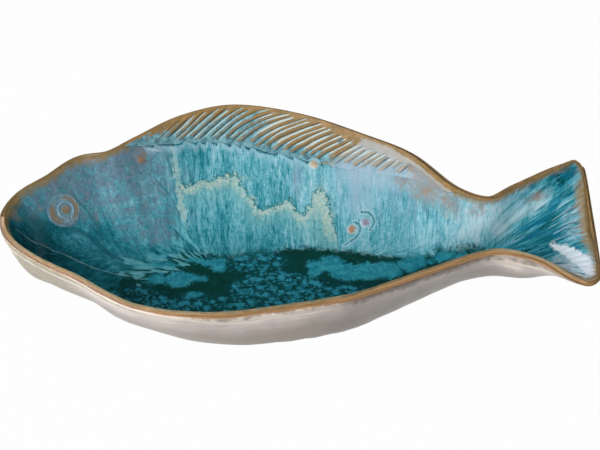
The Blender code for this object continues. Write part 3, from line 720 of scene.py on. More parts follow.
def clayMaterial():
    # iron-bearing stoneware, pressed and once dipped: toffee brown where the glaze ran off an edge,
    # milky turquoise where it stayed in the rays of the fin
    material, tree, skin = newMaterial("toffee_stoneware_thin_glazed", IOR=1.5, Specular_IOR_Level=0.25)
    noises = patterns(tree, {
        "fine": ("flow", (1.4, 9), 3.0, 0.5),
        "strand": ("strand", (1.5, 12), 3.0, 0.4),  # along the rays of the fin
        "streak": ("flow", (26, 1.8), 3.0, 0.4),  # along the rim
        "grain": ("Object", 1.4, 3.0, 0.0),
        "tear": ("Object", 4, 4.0, 0.6),
        "mottle": ("Object", 7, 3.0, 0.5),
    })
    colour = twoTone(tree, noises["mottle"], 0.9, "#a27e50", "#7a6640")
    colour = washes(tree, colour, noises, (
        ("nearSide", "streak", 0.25, (0.2, 0.8), 0.9, "#c39768", "#93704a", "streak"),
        ("brow", "mottle", 0.3, (0.2, 0.8), 0.7, "#6c5b35", "#846e47", "mottle"),
        ("lip", "tear", 0.35, (0.35, 0.85), 0.75, "#5d6a58", "#8a8468", "mottle"),
        ("milkRim", "streak", 0.35, (0.25, 0.75), 0.85, "#e2cbbb", "#d3ab96", "mottle"),
        ("finEnd", "tear", 0.3, (0.15, 0.8), 0.92, "#7f9fae", "#abb2b2", "tear"),
        ("finDust", "tear", 0.5, (0.15, 0.9), 0.75, "#b29c84", "#9aa09f", "tear"),
        ("finRust", "tear", 0.5, (0.2, 0.9), 0.75, "#6d818e", "#8a7868", "tear"),
        ("finFoot", "tear", 0.3, (0.15, 0.9), 0.85, "#84a9b9", "#9db3c3", "fine"),
        ("finSkin", "tear", 0.5, (0.15, 0.8), 0.92, "#22697a", "#76a9b4", "tear"),
        ("ridge", "strand", 0.42, (0.40, 0.80), 0.85, "#74643f", "#a07b48", "mottle"),
        ("rearRidge", "strand", 0.3, (0.35, 0.85), 0.85, "#8d8270", "#ab987a", "mottle"),
        # the pale and cream strokes are glaze caught in the rays with a painted highlight on their side
        # towards the lamps, the thin lines in front are painted glints, and the shade strokes are painted
        # shadow in each groove
        ("pale", "strand", 0.35, (0.35, 0.8), 0.85, "#3f8792", "#82b2bd", "tear"),
        ("cream", "strand", 0.42, (0.4, 0.85), 0.8, "#d3d2c4", "#b9cfd1", "tear"),
        ("shade", "grain", 0.12, (0.35, 0.8), 0.75, "#27474b", "#4b4432", "mottle"),
        ("blemish", "grain", 0.8, (-0.3, 0.9), 0.7, "#55737a", "#3f5a5c", "grain"),
        ("raw", "grain", 0.1, (0.3, 0.7), 1.0, "#9c8a74", "#87745e", "grain"),
    ))
    coverSkin(tree, skin, colour, noises["grain"], 0.24, 0.40)
    rough = put(tree, "Bump", {"Height": noises["grain"], "Strength": 0.2, "Distance": 0.15 * mm})
    tree.links.new(rough.outputs[0], skin.inputs["Normal"])
    return material


def outsideMaterial():
    # oatmeal satin glaze over the brown clay, brushed on: warm grey, a little lavender, iron specks
    material, tree, skin = newMaterial("oatmeal_satin_glaze", IOR=1.5)
    noises = patterns(tree, {
        "round": ("flow", (40, 3.5), 3.0, 0.5),
        "fine": ("flow", (2.5, 9), 3.0, 0.3),
        "speck": ("Object", 3.0, 1.0, 0.0),
        "mottle": ("Object", 9, 3.0, 0.5),
        "cloud": ("Object", 30, 2.0, 0.0),
    })
    colour = twoTone(tree, noises["round"], 1.0, "#ebe1d7", "#c2b4a8")
    colour = washes(tree, colour, noises, (
        ("edge", "cloud", 6.0, (4.0, 12.0, 14.0, 30.0), 0.4, "#b5aebb", "#c9bdb8", "mottle"),
        # painted shade: the outer wall darker further down, where it turns under
        ("edge", "cloud", 4.0, (5.0, 27.0), 0.85, "#887e75", "#958a7f", "round"),
        # painted shade: the outer wall darker towards the tail, less at the wrist that faces the lamps
        ("back", "cloud", 0.1, (0.1, 0.9), 0.6, "#877f75", "#7b7672", "mottle"),
        # painted shade: the outer wall darker and a little yellower towards the head
        ("front", "round", 0.3, (0.2, 1.0), 0.82, "#8f8369", "#aa9e86", "mottle"),
        # painted highlight: a pale band just under the near rim towards the head
        ("chalk", "mottle", 0.5, (0.3, 0.9), 0.7, "#eadfd8", "#d9cfc3", "mottle"),
        ("moss", "mottle", 0.4, (0.3, 0.9), 0.7, "#8f8d6e", "#a59c7c", "fine"),
        ("lipEdge", "mottle", 3.0, (-9, -8, 0.2, 3.0), 0.7, "#97754f", "#7d6f6a", "fine"),
        # darker brown just below the near rim, from behind the fin towards the wrist
        ("smudge", "mottle", 0.55, (0.15, 0.95), 0.8, "#57493e", "#7a695b", "fine"),
        ("speckle", "speck", 1.0, (1.15, 1.35), 0.6, "#7a5a4c"),
    ))
    coverSkin(tree, skin, colour, noises["mottle"], 0.28, 0.40)
    return material


# clay body

body = {
    "columns": 500, "finer": 0.55,
    "hiddenRows": 14, "bareRows": 44, "rollRows": 10, "outerRows": 20,
    "outerTop": (0.0, 1.5, 3.0, 4.5), "outerFrom": 5,  # first rows outside, and where the others start
    "rimBare": 1.3, "tuck": 2.0,  # clay that shows inside the rim, and that runs on under the coat's edge
    "sunk": 1.8, "sinkOver": 6,  # under the coat the slab's face lies deeper
    "rawBelow": 4,
    # looks of the rim: fades along the fish, before the tail's end, or round the roll in radians
    "nearOut": (4, 14), "milkOut": (90, 150), "milkTurn": (1.2, 2.1),
    "browOut": (62, 96), "lipTurn": (0.9, 1.4),
}

finGlaze = {
    # thin glaze and bare ridges on the fin: fades along the fish, down from the rim or up from the root
    "deepIn": (0.5, 3), "downIn": (0.8, 2.8), "sway": 2.0, "rootUp": (4, 12),
    "frontOut": (150, 215), "frontDown": (3, 13), "frontMost": 0.9,
    "rearRays": (0.62, 0.78), "rearIn": (258, 284),  # pale behind these shares of the rays or this place
    "rimWider": 2.2, "rimWiden": (262, 290), "endDown": (1.2, 4.0), "dustDown": (0.8, 2.6),
    "dustOut": (6, 14), "footOut": (276, 296), "footUp": (3, 8), "rustIn": (274, 290), "rustDown": (4, 8),
    "ridgeDown": (3, 12), "ridgeLess": 0.3, "paleLess": 0.8, "shadeLess": 0.2, "glintMost": 0.9,
    "paleFront": 0.75, "paleIn": (130, 175), "creamIn": (150, 200), "creamUp": (4, 12),
    # bands in each ray: place across it, and sharpness; the light band is pale glaze with a painted
    # highlight, the thin one a painted glint, shade a painted shadow
    "light": (0.05, 1.8), "glintLine": (0.1, 7), "ridge": (0.48, 1), "rearRidge": (0.46, 1.3),
    "shade": (-0.27, 5),
    "strand": 6,  # millimetres across a ray for the pattern that runs along it
}


def rayNumber(x, y, root):
    # which ray of the fin a place lies on, in rays and parts of a ray, and how many rays there are
    first, last = fin["rays"]
    starts = np.linspace(first - 60, last + 40, 500)  # fine steps along the root, past both ends of the fin
    share = np.clip((starts - first) / (last - first), 0, 1)
    slant = np.radians(fin["slant"][0] + (fin["slant"][1] - fin["slant"][0]) * share)
    apart = fin["pitch"][0] + (fin["pitch"][1] - fin["pitch"][0]) * np.sin(math.pi * share)
    counts = np.cumsum(1 / apart) * (starts[1] - starts[0])
    counts -= np.interp(first, starts, counts)
    bendStart, bendFull = first + fin["bendIn"][0], (first + last) / 2 + fin["bendIn"][1]
    bend = fin["bend"][0] + (fin["bend"][1] - fin["bend"][0]) * ramp(x, bendStart, bendFull)
    x = x - bend * np.clip(y - root(x), 0, None) ** 2
    number = np.zeros(x.shape)
    side = None
    for start, lean, count in zip(starts, slant, counts):
        now = (x - start) * math.sin(lean) - (y - root(start)) * math.cos(lean)
        if side is not None:
            crossed = (side > 0) & (now <= 0)
            part = np.where(crossed, side / np.where(crossed, side - now, 1), 0)
            number = np.where(crossed, before + part * (count - before), number)
        side, before = now, count
    return number, np.interp(last, starts, counts)


def rootOf(cols):
    # the fin's root in plan, as a function of x
    w = sharesAt(cols, cols["fin"][:, None])
    at = wallAt(cols, w)[:, 0][cols["onBack"]]
    order = np.argsort(at[:, 0])
    return lambda x: np.interp(x, at[order, 0], at[order, 1])


def finRelief(cols, x, y, down):
    # ray number, the last ray's number, and how fully the rays are pressed here
    number, span = rayNumber(x, y, rootOf(cols))
    wander, pace = fin["wander"]
    sway, swayLong, swayTurn, swayPace = fin["sway"]
    number = (number + wander * np.sin(pace * number + 1)
              + sway * np.sin(down / swayLong + swayTurn * np.sin(swayPace * number)))
    gap = fin["rimGap"][0] + (fin["rimGap"][1] - fin["rimGap"][0]) * ramp(x, *fin["short"])
    uneven, pace = fin["rimUneven"]
    gap = gap + uneven * np.sin(pace * number)
    uneven, pace = fin["rootUneven"]
    above = cols["fin"][:, None] - down + uneven * np.sin(pace * number + 2)
    full = ramp(down - gap, 0, fin["rimFade"]) * ramp(above, *fin["rootGap"]) * cols["onBack"][:, None]
    full = full * ramp(number, *fin["firstIn"])
    return number, span, full * (1 - ramp(number, *(span + past for past in fin["lastOut"])))


def buildBody():
    cols = layStations(body["columns"], body["finer"])
    long, columns = cols["gone"][:, -1:], len(cols["rim"])
    finDeep, onBack = cols["fin"][:, None], cols["onBack"][:, None]
    edge = np.maximum(body["rimBare"], finDeep) + body["tuck"]
    hidden = np.linspace(0, 1, body["hiddenRows"], endpoint=False)
    bare = np.linspace(0, 1, body["bareRows"])
    down = np.hstack([long + (edge - long) * hidden, edge * (1 - bare)])
    inner, normal, along = faceOf(cols, sharesAt(cols, down))
    number, span, pressed = finRelief(cols, inner[..., 0], inner[..., 1], down)
    wave = 0.5 + 0.5 * np.cos(2 * math.pi * number)
    sunk = body["sunk"] * ramp(down - edge, 0, body["sinkOver"])
    inner = inner - normal * (fin["groove"] * pressed * wave ** fin["sharp"] + sunk)[..., None]
    top, half = normal[:, -1:], (slab["clay"] - slab["thin"]) / 2
    up = np.cross(along[:, -1:], top)
    angle = (np.arange(1, body["rollRows"]) * math.pi / body["rollRows"])[None, :, None]
    roll = inner[:, -1:] - top * half + (top * np.cos(angle) + up * np.sin(angle)) * half
    start = body["outerFrom"]
    outDown = np.hstack([np.tile(body["outerTop"], (columns, 1)),
                         start + (long - start) * np.linspace(0, 1, body["outerRows"])])
    face, way, _ = faceOf(cols, sharesAt(cols, outDown), thinned=False)
    points = np.concatenate([inner, roll, face - way * slab["clay"]], axis=1)
    closeKeel(points)
    rows, inRows = points.shape[1], inner.shape[1]

    def stroke(key):
        # one band in each ray, by its place across the ray
        middle, power = finGlaze[key]
        return (0.5 + 0.5 * np.cos(2 * math.pi * (number - middle))) ** power * pressed

    # thin glaze on the fin: along its root, over its front and, dusty and pale, over its back
    look, alongFin, above = finGlaze, inner[..., 0], finDeep - down
    sway = look["sway"] * np.sin(2 * math.pi * number)
    onFin = onBack * ramp(finDeep, *look["deepIn"]) * ramp(down, *look["downIn"])
    nearRoot = 1 - ramp(above + sway, *look["rootUp"])
    inFront = 1 - ramp(alongFin, *look["frontOut"])
    front = look["frontMost"] * inFront * ramp(down + sway, *look["frontDown"])
    behind = ramp(number, *(share * span for share in look["rearRays"]))
    behind = np.maximum(behind, ramp(alongFin, *look["rearIn"])) * onBack
    underRim = down - look["rimWider"] * ramp(alongFin, *look["rimWiden"])
    light, ridgeless = stroke("light"), look["ridgeLess"] * inFront * ramp(down, *look["ridgeDown"])
    paler = look["paleFront"] + (1 - look["paleFront"]) * ramp(alongFin, *look["paleIn"])
    finMarks = {
        "finSkin": onFin * np.maximum(nearRoot, front) * (1 - behind),
        "finEnd": behind * ramp(underRim, *look["endDown"]),
        "finDust": behind * ramp(underRim, *look["dustDown"]) * (1 - ramp(down, *look["dustOut"])),
        "finFoot": behind * (1 - ramp(alongFin, *look["footOut"])) * (1 - ramp(above, *look["footUp"])),
        "finRust": ramp(alongFin, *look["rustIn"]) * behind * ramp(down, *look["rustDown"]),
        "ridge": stroke("ridge") * (1 - ridgeless) * (1 - behind),
        "rearRidge": stroke("rearRidge") * behind,
        # pale and cream: glaze in the rays, their lit side painted as a highlight, with thin painted glints
        # in front; shade: painted shadow
        "pale": light * paler * (1 - look["paleLess"] * behind),
        "cream": np.maximum(light * ramp(alongFin, *look["creamIn"]) * ramp(above, *look["creamUp"]),
                            look["glintMost"] * stroke("glintLine") * inFront),
        "shade": stroke("shade") * (1 - look["shadeLess"] * behind),
    }
    x, y = points[..., 0], points[..., 1]
    nearSide = ~onBack * ramp(slab["long"] - x, *body["nearOut"])
    outRows = outDown.shape[1]
    # the roll's turn, from nothing inside the bowl to half round outside
    turn = np.hstack([np.zeros(inRows), angle.ravel(), np.full(outRows, math.pi)])[None]
    around = np.hstack([down, np.tile(-angle[..., 0] * half, (columns, 1)), -math.pi * half - outDown])
    elsewhere = np.zeros((columns, rows - inRows))  # rim and outside
    marks = {
        "flow": np.stack([np.repeat(cols["arc"][:, None], rows, axis=1), around, 0 * around], axis=-1),
        "strand": np.stack([np.hstack([number * look["strand"], elsewhere]), around, 0 * around], axis=-1),
        "nearSide": firm(nearSide),
        "milkRim": firm(nearSide * (1 - ramp(x, *body["milkOut"])) * ramp(turn, *body["milkTurn"])),
        "brow": firm((1 - ramp(x, *body["browOut"])) * onBack),
        "lip": firm(nearSide * (1 - ramp(turn, *body["lipTurn"]))),
        "blemish": spots(x, y, (fin["blemish"],)),
        "raw": np.where((turn >= math.pi) & (points[..., 2] < body["rawBelow"]), 1.0, 0.0),
    }
    for key, values in finMarks.items():
        marks[key] = np.hstack([firm(values), elsewhere - 1])
    bm, mesh = wrapGrid("stoneware_slab", points, marks)
    place("stoneware_slab", bm, clayMaterial(), "stoneware_body", mesh)


# inner glaze

lining = {
    "columns": 440, "rows": 92, "edgeRows": 7, "underRows": 14,
    "thick": 1.1, "pool": 0.5, "poolIn": (-4, 8),
    "edgeRound": 2.6, "runOut": 16, "runOutIn": (225, 255),  # its edge is round, and thins out behind the fin
    "tuck": 0.3, "bite": 0.12,  # its hidden face starts below the edge, and the edge bites into the clay
    "uneven": (0.6, 7, 17),  # waves along its edge: height, and two lengths
    "under": 0.3, "sunk": 1.1, "sinkOver": 8,  # the hidden face lies deep in the clay, away from the edge
    # the glaze starts in slanting steps below the fin: height, length, and fades along the fish
    "step": 2.2, "stepLong": 10.5, "stepBack": (0.82, 1.0), "stepMiddle": 0.4,
    "stepUneven": ((0.55, 13, 1), (0.25, 5.3, 0)),  # waves in their places: height, length and start
    "stepFin": (6, 14), "stepIn": (100, 115), "stepOut": (225, 262), "stepShade": 3.0,
    # lines on its face: how far they stand proud, and their half width
    "lines": {"pressed": (-0.4, 0.9), "mouth": (0.2, 0.8), "break": (0.35, 1.5)},
    "fanRidge": 0.25, "fanPitch": 5.2, "fanIn": (3, 12),
    "finIn": (3, 9), "away": 60,  # edge marks are put this far off where they shouldn't show
    "browEdge": 0.5, "browOut": (60, 100), "rootOut": (215, 240), "endFade": (1, 18), "endIn": (222, 250),
}


def roundEdge(edge, over):
    # 0 to 1 in a quarter round over this way in from the edge
    return np.sqrt(np.clip(1 - (1 - np.clip(edge / over, 0, 1)) ** 2, 0, 1))


def buildLining():
    cols = layStations(lining["columns"])
    long, arc = cols["gone"][:, -1:], cols["arc"]
    uneven, short, slow = lining["uneven"]
    top = np.maximum(body["rimBare"] + uneven * np.sin(arc / short) * np.sin(arc / slow), cols["fin"])
    rootX = wallAt(cols, sharesAt(cols, top[:, None]))[:, 0, 0]
    onFin = ramp(cols["fin"], *lining["stepFin"]) * (1 - ramp(rootX, *lining["stepOut"]))
    step = rootX / lining["stepLong"]
    for high, wave, start in lining["stepUneven"]:
        step = step + high * np.sin(rootX / wave + start)
    step = step - np.floor(step)
    step = step - ramp(step, *lining["stepBack"])
    rise = lining["step"] * (step - lining["stepMiddle"])
    top = (top + rise * onFin * ramp(rootX, *lining["stepIn"]))[:, None]
    edgeIn = np.linspace(0, lining["edgeRound"], lining["edgeRows"])[None]
    rest = np.linspace(0, 1, lining["rows"] - lining["edgeRows"] + 1)[None, 1:]
    start = top + lining["edgeRound"]
    under = long + (top + lining["tuck"] - long) * np.linspace(0, 1, lining["underRows"])[None]
    down = np.hstack([under, top + edgeIn, start + (long - start) * rest])
    face, normal, _ = faceOf(cols, sharesAt(cols, down))
    x, y = face[..., 0], face[..., 1]
    edge = down - top
    finHere = ramp(cols["fin"], *lining["finIn"])[:, None]
    wide = 1 + lining["browEdge"] * (1 - ramp(x, *lining["browOut"])) * (y > 0)
    # the painted shadow line along the edge breaks off where a step is low
    broken = lining["stepShade"] * ramp(0.5 - step, 0, 0.5)[:, None]
    rimEdge = edge / wide + lining["away"] * finHere
    rootEdge = edge + broken + lining["away"] * (1 - finHere * (1 - ramp(x, *lining["rootOut"])))
    marks = glazeMarks(x, y, down, rimEdge, rootEdge, np.repeat(arc[:, None], down.shape[1], axis=1))
    marks["finEnd"] = firm((1 - ramp(edge, *lining["endFade"])) * finHere * ramp(x, *lining["endIn"]))
    runOut = lining["edgeRound"] + lining["runOut"] * finHere * ramp(x, *lining["runOutIn"])
    thick = lining["thick"] + lining["pool"] * ramp(marks["pool"], *lining["poolIn"])
    thick = thick * roundEdge(edge, runOut) - lining["bite"]
    for key, (proud, half) in lining["lines"].items():
        thick = thick + proud * np.exp(-((marks[key] / half) ** 2))
    ridges = np.cos(marks["fan"][..., 0] * 2 * math.pi / lining["fanPitch"])
    thick = thick + lining["fanRidge"] * marks["tail"] * ridges * ramp(edge, *lining["fanIn"])
    hidden = slice(0, lining["underRows"])
    thick[:, hidden] = -lining["under"] - lining["sunk"] * ramp(edge[:, hidden], 0, lining["sinkOver"])
    points = face + normal * thick[..., None]
    closeKeel(points)
    bm, mesh = wrapGrid("glaze_lining", points, marks)
    tree = BVHTree.FromBMesh(bm)  # the sprigs are pressed on this
    place("glaze_lining", bm, glazeMaterial(), "inner_glaze", mesh)
    return tree


# outer glaze

jacket = {
    "columns": 300, "rows": 44, "edgeRows": 6, "underRows": 44,
    "thick": 1.0, "edgeRound": 3.0, "tuck": 0.3, "bite": 0.1, "under": 0.3, "footBare": 3.0,
    "top": 1.0, "topLower": 1.2, "topIn": (90, 170),  # where it starts below the rim, lower behind the head
    "uneven": (0.7, 9, 23),  # waves along its edge: height, and two lengths
    # looks: fades along the fish or down from its edge; back and front darken the wall as painted shade
    "backIn": (180, 270), "backOut": (315, 345), "backLess": 0.75, "frontOut": (20, 85),
    "sheenOut": (80, 130), "sheenDown": (2, 5, 6, 12), "mossOut": (70, 110), "mossDown": (0.5, 1.5, 2.5, 5),
    "lipLower": 6, "lipOut": (95, 150),
    "darkBelowRimIn": (228, 255), "darkBelowRimOut": (325, 345), "darkBelowRimLess": 0.6, "darkBelowRimDown": (1.5, 10),
}


def bandOf(value, low, full, hold, high):
    return ramp(value, low, full) * (1 - ramp(value, hold, high))


def buildJacket():
    cols = layStations(jacket["columns"])
    long, arc = cols["gone"][:, -1:], cols["arc"]
    top = jacket["top"] + jacket["topLower"] * ramp(cols["rim"][:, 0], *jacket["topIn"])
    uneven, short, slow = jacket["uneven"]
    top = (top + uneven * np.sin(arc / short) * np.sin(arc / slow + 1))[:, None]
    start = jacket["edgeRound"]
    rest = np.linspace(0, 1, jacket["rows"] - jacket["edgeRows"] + 1)[None, 1:]
    edge = np.hstack([np.tile(np.linspace(0, start, jacket["edgeRows"]), (len(top), 1)),
                      start + (long - top - start) * rest])
    under = edge[:, -1:] + (jacket["tuck"] - edge[:, -1:]) * np.linspace(0, 1, jacket["underRows"])[None]
    edge = np.hstack([under, edge])
    face, normal, _ = faceOf(cols, sharesAt(cols, top + edge), thinned=False)
    thick = jacket["thick"] * roundEdge(edge, jacket["edgeRound"]) - jacket["bite"]
    thick[:, : jacket["underRows"]] = -jacket["under"]
    points = face - normal * (slab["clay"] + thick)[..., None]
    closeKeel(points)
    arc = np.repeat(arc[:, None], edge.shape[1], axis=1)
    x, near = points[..., 0], arc < 0
    # a painted highlight band and a moss band below the glaze's edge
    chalk, moss = bandOf(edge, *jacket["sheenDown"]), bandOf(edge, *jacket["mossDown"])
    # darker just below the near rim, less at the wrist
    smudge = ramp(x, *jacket["darkBelowRimIn"]) * (1 - jacket["darkBelowRimLess"] * ramp(x, *jacket["darkBelowRimOut"]))
    # painted shade towards the tail, less at the wrist
    back = ramp(x, *jacket["backIn"]) * (1 - jacket["backLess"] * ramp(x, *jacket["backOut"]))
    marks = {
        "flow": np.stack([arc, top + edge, 0 * edge], axis=-1),
        "edge": edge,
        "back": firm(back),
        # painted shade towards the head
        "front": firm(1 - ramp(x, *jacket["frontOut"])),
        "chalk": firm(near * (1 - ramp(x, *jacket["sheenOut"])) * chalk),
        "moss": firm(near * (1 - ramp(x, *jacket["mossOut"])) * moss),
        "lipEdge": edge + jacket["lipLower"] * (1 - ramp(x, *jacket["lipOut"])),
        "smudge": firm(near * smudge * (1 - ramp(edge, *jacket["darkBelowRimDown"]))),
        "speckle": 0 * edge,
    }
    bm, mesh = wrapGrid("glaze_jacket", points, marks)
    bmesh.ops.bisect_plane(bm, geom=bm.verts[:] + bm.edges[:] + bm.faces[:], plane_no=(0, 0, 1),
                           plane_co=(0, 0, jacket["footBare"] * mm), clear_inner=True)
    bmesh.ops.bridge_loops(bm, edges=[edge for edge in bm.edges if edge.is_boundary])
    bmesh.ops.recalc_face_normals(bm, faces=bm.faces)
    place("glaze_jacket", bm, outsideMaterial(), "outer_glaze", mesh)


buildBody()
liningTree = buildLining()
buildJacket()


# sprigs: the eye and the four pips, turned and pressed on

sprigs = {
    # place, and the colours of the skirt, the crown and the thin rings
    "eye": ((37.4, 19.4), "#4a6b79", "#7c684c", "#7d9fad"),
    "pips": {
        "nape_pip": ((91.2, 57.2), "#5c6c74", "#846550", "#6a7a80"),
        "back_pip": ((216.7, 60.4), "#79abb5", "#b79a7e", "#98bec5"),
        "flank_pip_front": ((244, 19), "#86b2bb", "#9e6f4a", "#c2d2d0"),
        "flank_pip_rear": ((253.5, 22.8), "#80aab9", "#82778a", "#a9bfcb"),
    },
    "eyeRound": (12.8, 40), "pipRound": (5.0, 16),  # radius, and rings of faces
    "sides": 96, "sunk": 1.0,
    "above": 200, "reach": 10,  # its place is found from this high up, and it is pressed on from this near
}

pip = {
    "stand": 0.9, "bite": 0.12, "mound": 3.1, "rust": 3.4,
    "pale": (3.9, 0.5, 0.8), "paleWay": 0.6,  # a pale run: radius, width, strength, and the way it faces
    "paleRound": 0.25,  # what is left of it on the other side
}


def sprigMaterial(name, skirt, top, rim):
    # sprig of clay under the same glaze: the iron shows through where the glaze thins on its crown
    material, tree, skin = newMaterial(name, IOR=1.5, Specular_IOR_Level=0.35)
    noises = patterns(tree, {"mottle": ("Object", 2.4, 3.0, 0.6),
                             "cloud": ("Object", 4, 3.0, 0.8)})
    colour = twoTone(tree, noises["cloud"], 0.8, skirt, rim, 0.55)
    colour = washes(tree, colour, noises, (
        ("crown", "mottle", 0.3, (0.25, 0.85), 0.9, top),
        ("lip", "mottle", 0.3, (0.3, 0.9), 0.7, rim),
    ))
    coverSkin(tree, skin, colour, noises["mottle"], 0.16, 0.28)
    return material


def buildSprig(name, look, profile, node):
    # profile gives the height and the crown and lip marks at a radius and an angle from the tail's side
    at, *colours = look
    skyward = Vector(toFrame((*at, sprigs["above"])))
    point, normal, _, _ = liningTree.ray_cast(skyward, Vector((0, 0, -1)))
    bm = bmesh.new()
    crown, lip = bm.verts.layers.float.new("crown"), bm.verts.layers.float.new("lip")
    wide, rings = sprigs["eyeRound" if node == "eye" else "pipRound"]
    verts = [bm.verts.new((r * mm, 0, profile(r, 0)[0] * mm)) for r in np.linspace(0, wide, rings + 1)]
    verts += [bm.verts.new((r * mm, 0, -sprigs["sunk"] * mm)) for r in (wide, 0)]
    edges = [bm.edges.new(pair) for pair in zip(verts, verts[1:])]
    bmesh.ops.spin(bm, geom=verts + edges, cent=(0, 0, 0), axis=(0, 0, 1), angle=2 * math.pi,
                   steps=sprigs["sides"], use_merge=True)
    bmesh.ops.remove_doubles(bm, verts=bm.verts, dist=1e-6)
    bmesh.ops.recalc_face_normals(bm, faces=bm.faces)
    for vert in bm.verts:
        r, angle = vert.co.to_2d().length / mm, math.atan2(vert.co.y, vert.co.x)
        high, vert[crown], vert[lip] = profile(r, angle)
        if vert.co.z > -0.9 * sprigs["sunk"] * mm:  # not its flat back
            vert.co.z = high * mm
    turn = normal.to_track_quat("Z", "Y").to_matrix().to_4x4()
    bmesh.ops.transform(bm, matrix=Matrix.Translation(point) @ turn, verts=bm.verts)
    for vert in bm.verts:  # pressed down on the hollow wall
        hit = liningTree.ray_cast(vert.co + normal * sprigs["reach"] * mm, -normal)[0]
        if hit:
            vert.co += normal * (hit - point).dot(normal)
    place(name, bm, sprigMaterial(name + "_glaze", *colours), node)


def bump(r, middle, wide):
    return math.exp(-(((r - middle) / wide) ** 2))


eye = {
    "foot": 0.15, "edge": (11.3, 1.5, 0.5),  # flat, and falling off at its edge: from, over, how much
    "pupilOff": (1.2, -0.3),  # the pupil and its ring sit off the middle, towards the tail
    "pupil": (3.2, 0.7), "pupilRust": 3.4,  # radius and height
    "ring": (5.6, 0.8, 0.55), "outerRing": (10.8, 1.6, 0.14),  # radius, width and height
    "opens": -86,  # degrees from the tail's side: there the ring runs out into a drop
    "neck": (2.8, 7.6, 1.2), "neckRust": 0.35,  # the drop narrows between these, to this half width
    "neckOut": (8, 11), "ringOut": (7, 11),
    "lean": 0.85,  # the drop's sides lean, so that the way to them is shorter than the way across
    "ringPale": 0.9,  # width of the pale on the ring, against the ring's own
    "rustLeft": (0.25, 8.6, 2.4), "rustRight": (0.05, 9.2, 1.5),  # turned by, radius and width
    "paleBelow": (-1.7, 8.6, 1.8, 0.6),  # the same, and strength
}


def eyeProfile(r, angle):
    # flat disc with a low outer ring and a domed pupil in a sharper ring, rusty to the left and right
    u, v = r * math.cos(angle) - eye["pupilOff"][0], r * math.sin(angle) - eye["pupilOff"][1]
    pupil, way = math.hypot(u, v), math.radians(eye["opens"])
    along, across = u * math.cos(way) + v * math.sin(way), abs(v * math.cos(way) - u * math.sin(way))
    ringRound, ringWide, ringHigh = eye["ring"]
    start, end, narrow = eye["neck"]
    off, neck = pupil - ringRound, 0.0
    if along > start:
        half = math.sqrt(ringRound**2 - start**2)
        off = eye["lean"] * (across - half - (narrow - half) * ramp(along, start, end))
        neck = bump(across, 0, narrow) * (1 - ramp(along, *eye["neckOut"]))
    outerRound, outerWide, outerHigh = eye["outerRing"]
    height = eye["foot"] + eye["pupil"][1] * math.exp(-((pupil / eye["pupil"][0]) ** 4))
    height += ringHigh * bump(off, 0, ringWide) + outerHigh * bump(r, outerRound, outerWide)
    fallFrom, fallOver, fall = eye["edge"]
    height -= fall * max(0.0, (r - fallFrom) / fallOver) ** 2
    turned, middle, wide = eye["rustLeft"]
    left = max(0.0, -math.cos(angle - turned)) * bump(r, middle, wide)
    turned, middle, wide = eye["rustRight"]
    right = math.sqrt(max(0.0, math.cos(angle - turned))) * bump(r, middle, wide)
    turned, middle, wide, strength = eye["paleBelow"]
    pale = strength * max(0.0, math.cos(angle - turned)) * bump(r, middle, wide) * (1 - neck)
    crown = max(math.exp(-((pupil / eye["pupilRust"]) ** 6)), left, right, eye["neckRust"] * neck)
    ring = bump(off, 0, eye["ringPale"] * ringWide) * (1 - ramp(along, *eye["ringOut"]))
    return height, crown, max(ring, pale)


def pipProfile(r, angle):
    # low mound that runs out into the glaze, with a pale run round the side towards the tail
    mound, rust = math.exp(-((r / pip["mound"]) ** 3)), math.exp(-((r / pip["rust"]) ** 2))
    middle, wide, strength = pip["pale"]
    facing = pip["paleRound"] + (1 - pip["paleRound"]) * max(0.0, math.cos(angle - pip["paleWay"]))
    return pip["stand"] * mound - pip["bite"], rust, strength * bump(r, middle, wide) * facing


buildSprig("eye_sprig", sprigs["eye"], eyeProfile, "eye")
for pipName, pipLook in sprigs["pips"].items():
    buildSprig(pipName + "_sprig", pipLook, pipProfile, pipName)


# floor, light and camera

studio = {
    "floor": "#8e8c89", "floorGlow": 0.985, "floorHalf": 6.0,
    "world": "#eef2f6", "worldStrength": 0.30,
    # soft boxes: place, aimed at the bowl, size, watts
    "boxes": (((-1.5, -0.5, 1.0), 1.2, 26), ((-0.6, -1.6, 0.8), 1.0, 20), ((1.3, -0.2, 1.2), 1.0, 5),
              ((0.3, 2.0, 0.25), 1.0, 12)),
    "azimuth": 0, "elevation": 45, "away": 1.4, "lens": 119, "aim": (206.5, -3, 40),
}


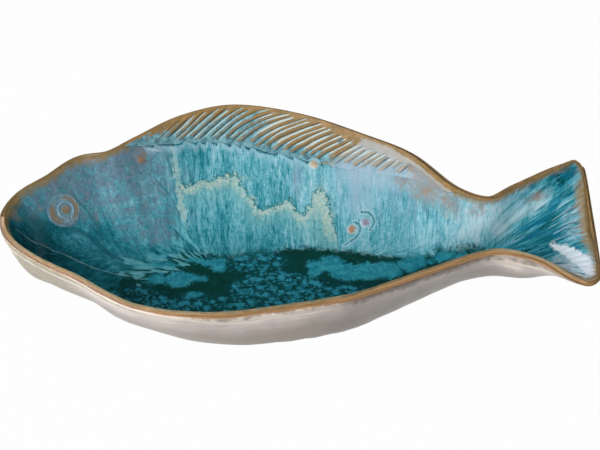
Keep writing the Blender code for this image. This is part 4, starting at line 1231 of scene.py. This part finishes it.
def buildFloor():
    bm = bmesh.new()
    bmesh.ops.create_grid(bm, x_segments=2, y_segments=2, size=studio["floorHalf"])
    mesh = bpy.data.meshes.new("studio_floor")
    bm.to_mesh(mesh)
    bm.free()
    ground = bpy.data.objects.new("studio_floor", mesh)
    bpy.context.scene.collection.objects.link(ground)
    material, tree, skin = newMaterial("white_paper_floor", Roughness=0.9)
    skin.inputs["Base Color"].default_value = linear(studio["floor"])
    path = put(tree, "LightPath")
    seen = path.outputs["Is Camera Ray"]
    for ray in ("Is Glossy Ray", "Is Transmission Ray"):
        seen = put(tree, "Math", {0: seen, 1: path.outputs[ray]}, operation="MAXIMUM")
    seen = put(tree, "Math", {0: seen, 1: studio["floorGlow"]}, operation="MULTIPLY")
    white = put(tree, "Emission", {"Color": (1, 1, 1, 1), "Strength": 1.0})
    both = put(tree, "MixShader", {0: seen, 1: skin.outputs[0], 2: white})
    tree.links.new(both.outputs[0], tree.nodes["Material Output"].inputs["Surface"])
    mesh.materials.append(material)


def buildLight():
    world = bpy.data.worlds.new("studio_air")
    world.use_nodes = True
    air = world.node_tree.nodes["Background"]
    air.inputs["Color"].default_value = linear(studio["world"])
    air.inputs["Strength"].default_value = studio["worldStrength"]
    bpy.context.scene.world = world
    for k, (at, size, watts) in enumerate(studio["boxes"]):
        lamp = bpy.data.lights.new(f"soft_box_{k}", "AREA")
        lamp.shape, lamp.size, lamp.energy = "DISK", size, watts
        box = bpy.data.objects.new(f"soft_box_{k}", lamp)
        box.location = at
        box.rotation_euler = (-Vector(at)).to_track_quat("-Z", "Y").to_euler()
        bpy.context.scene.collection.objects.link(box)


def buildCamera():
    turn, lift = math.radians(studio["azimuth"]), math.radians(studio["elevation"])
    back = Vector((-math.sin(turn) * math.cos(lift), -math.cos(turn) * math.cos(lift), math.sin(lift)))
    camera = bpy.data.objects.new("camera", bpy.data.cameras.new("camera"))
    camera.data.lens = studio["lens"]
    camera.data.sensor_width = 36
    camera.location = Vector(toFrame(studio["aim"])) + back * studio["away"]
    camera.rotation_euler = (-back).to_track_quat("-Z", "Y").to_euler()
    bpy.context.scene.collection.objects.link(camera)
    bpy.context.scene.camera = camera


buildFloor()
buildLight()
buildCamera()
bpy.context.scene.view_settings.view_transform = "Standard"
print("studio ready")

bpy.context.view_layer.update()
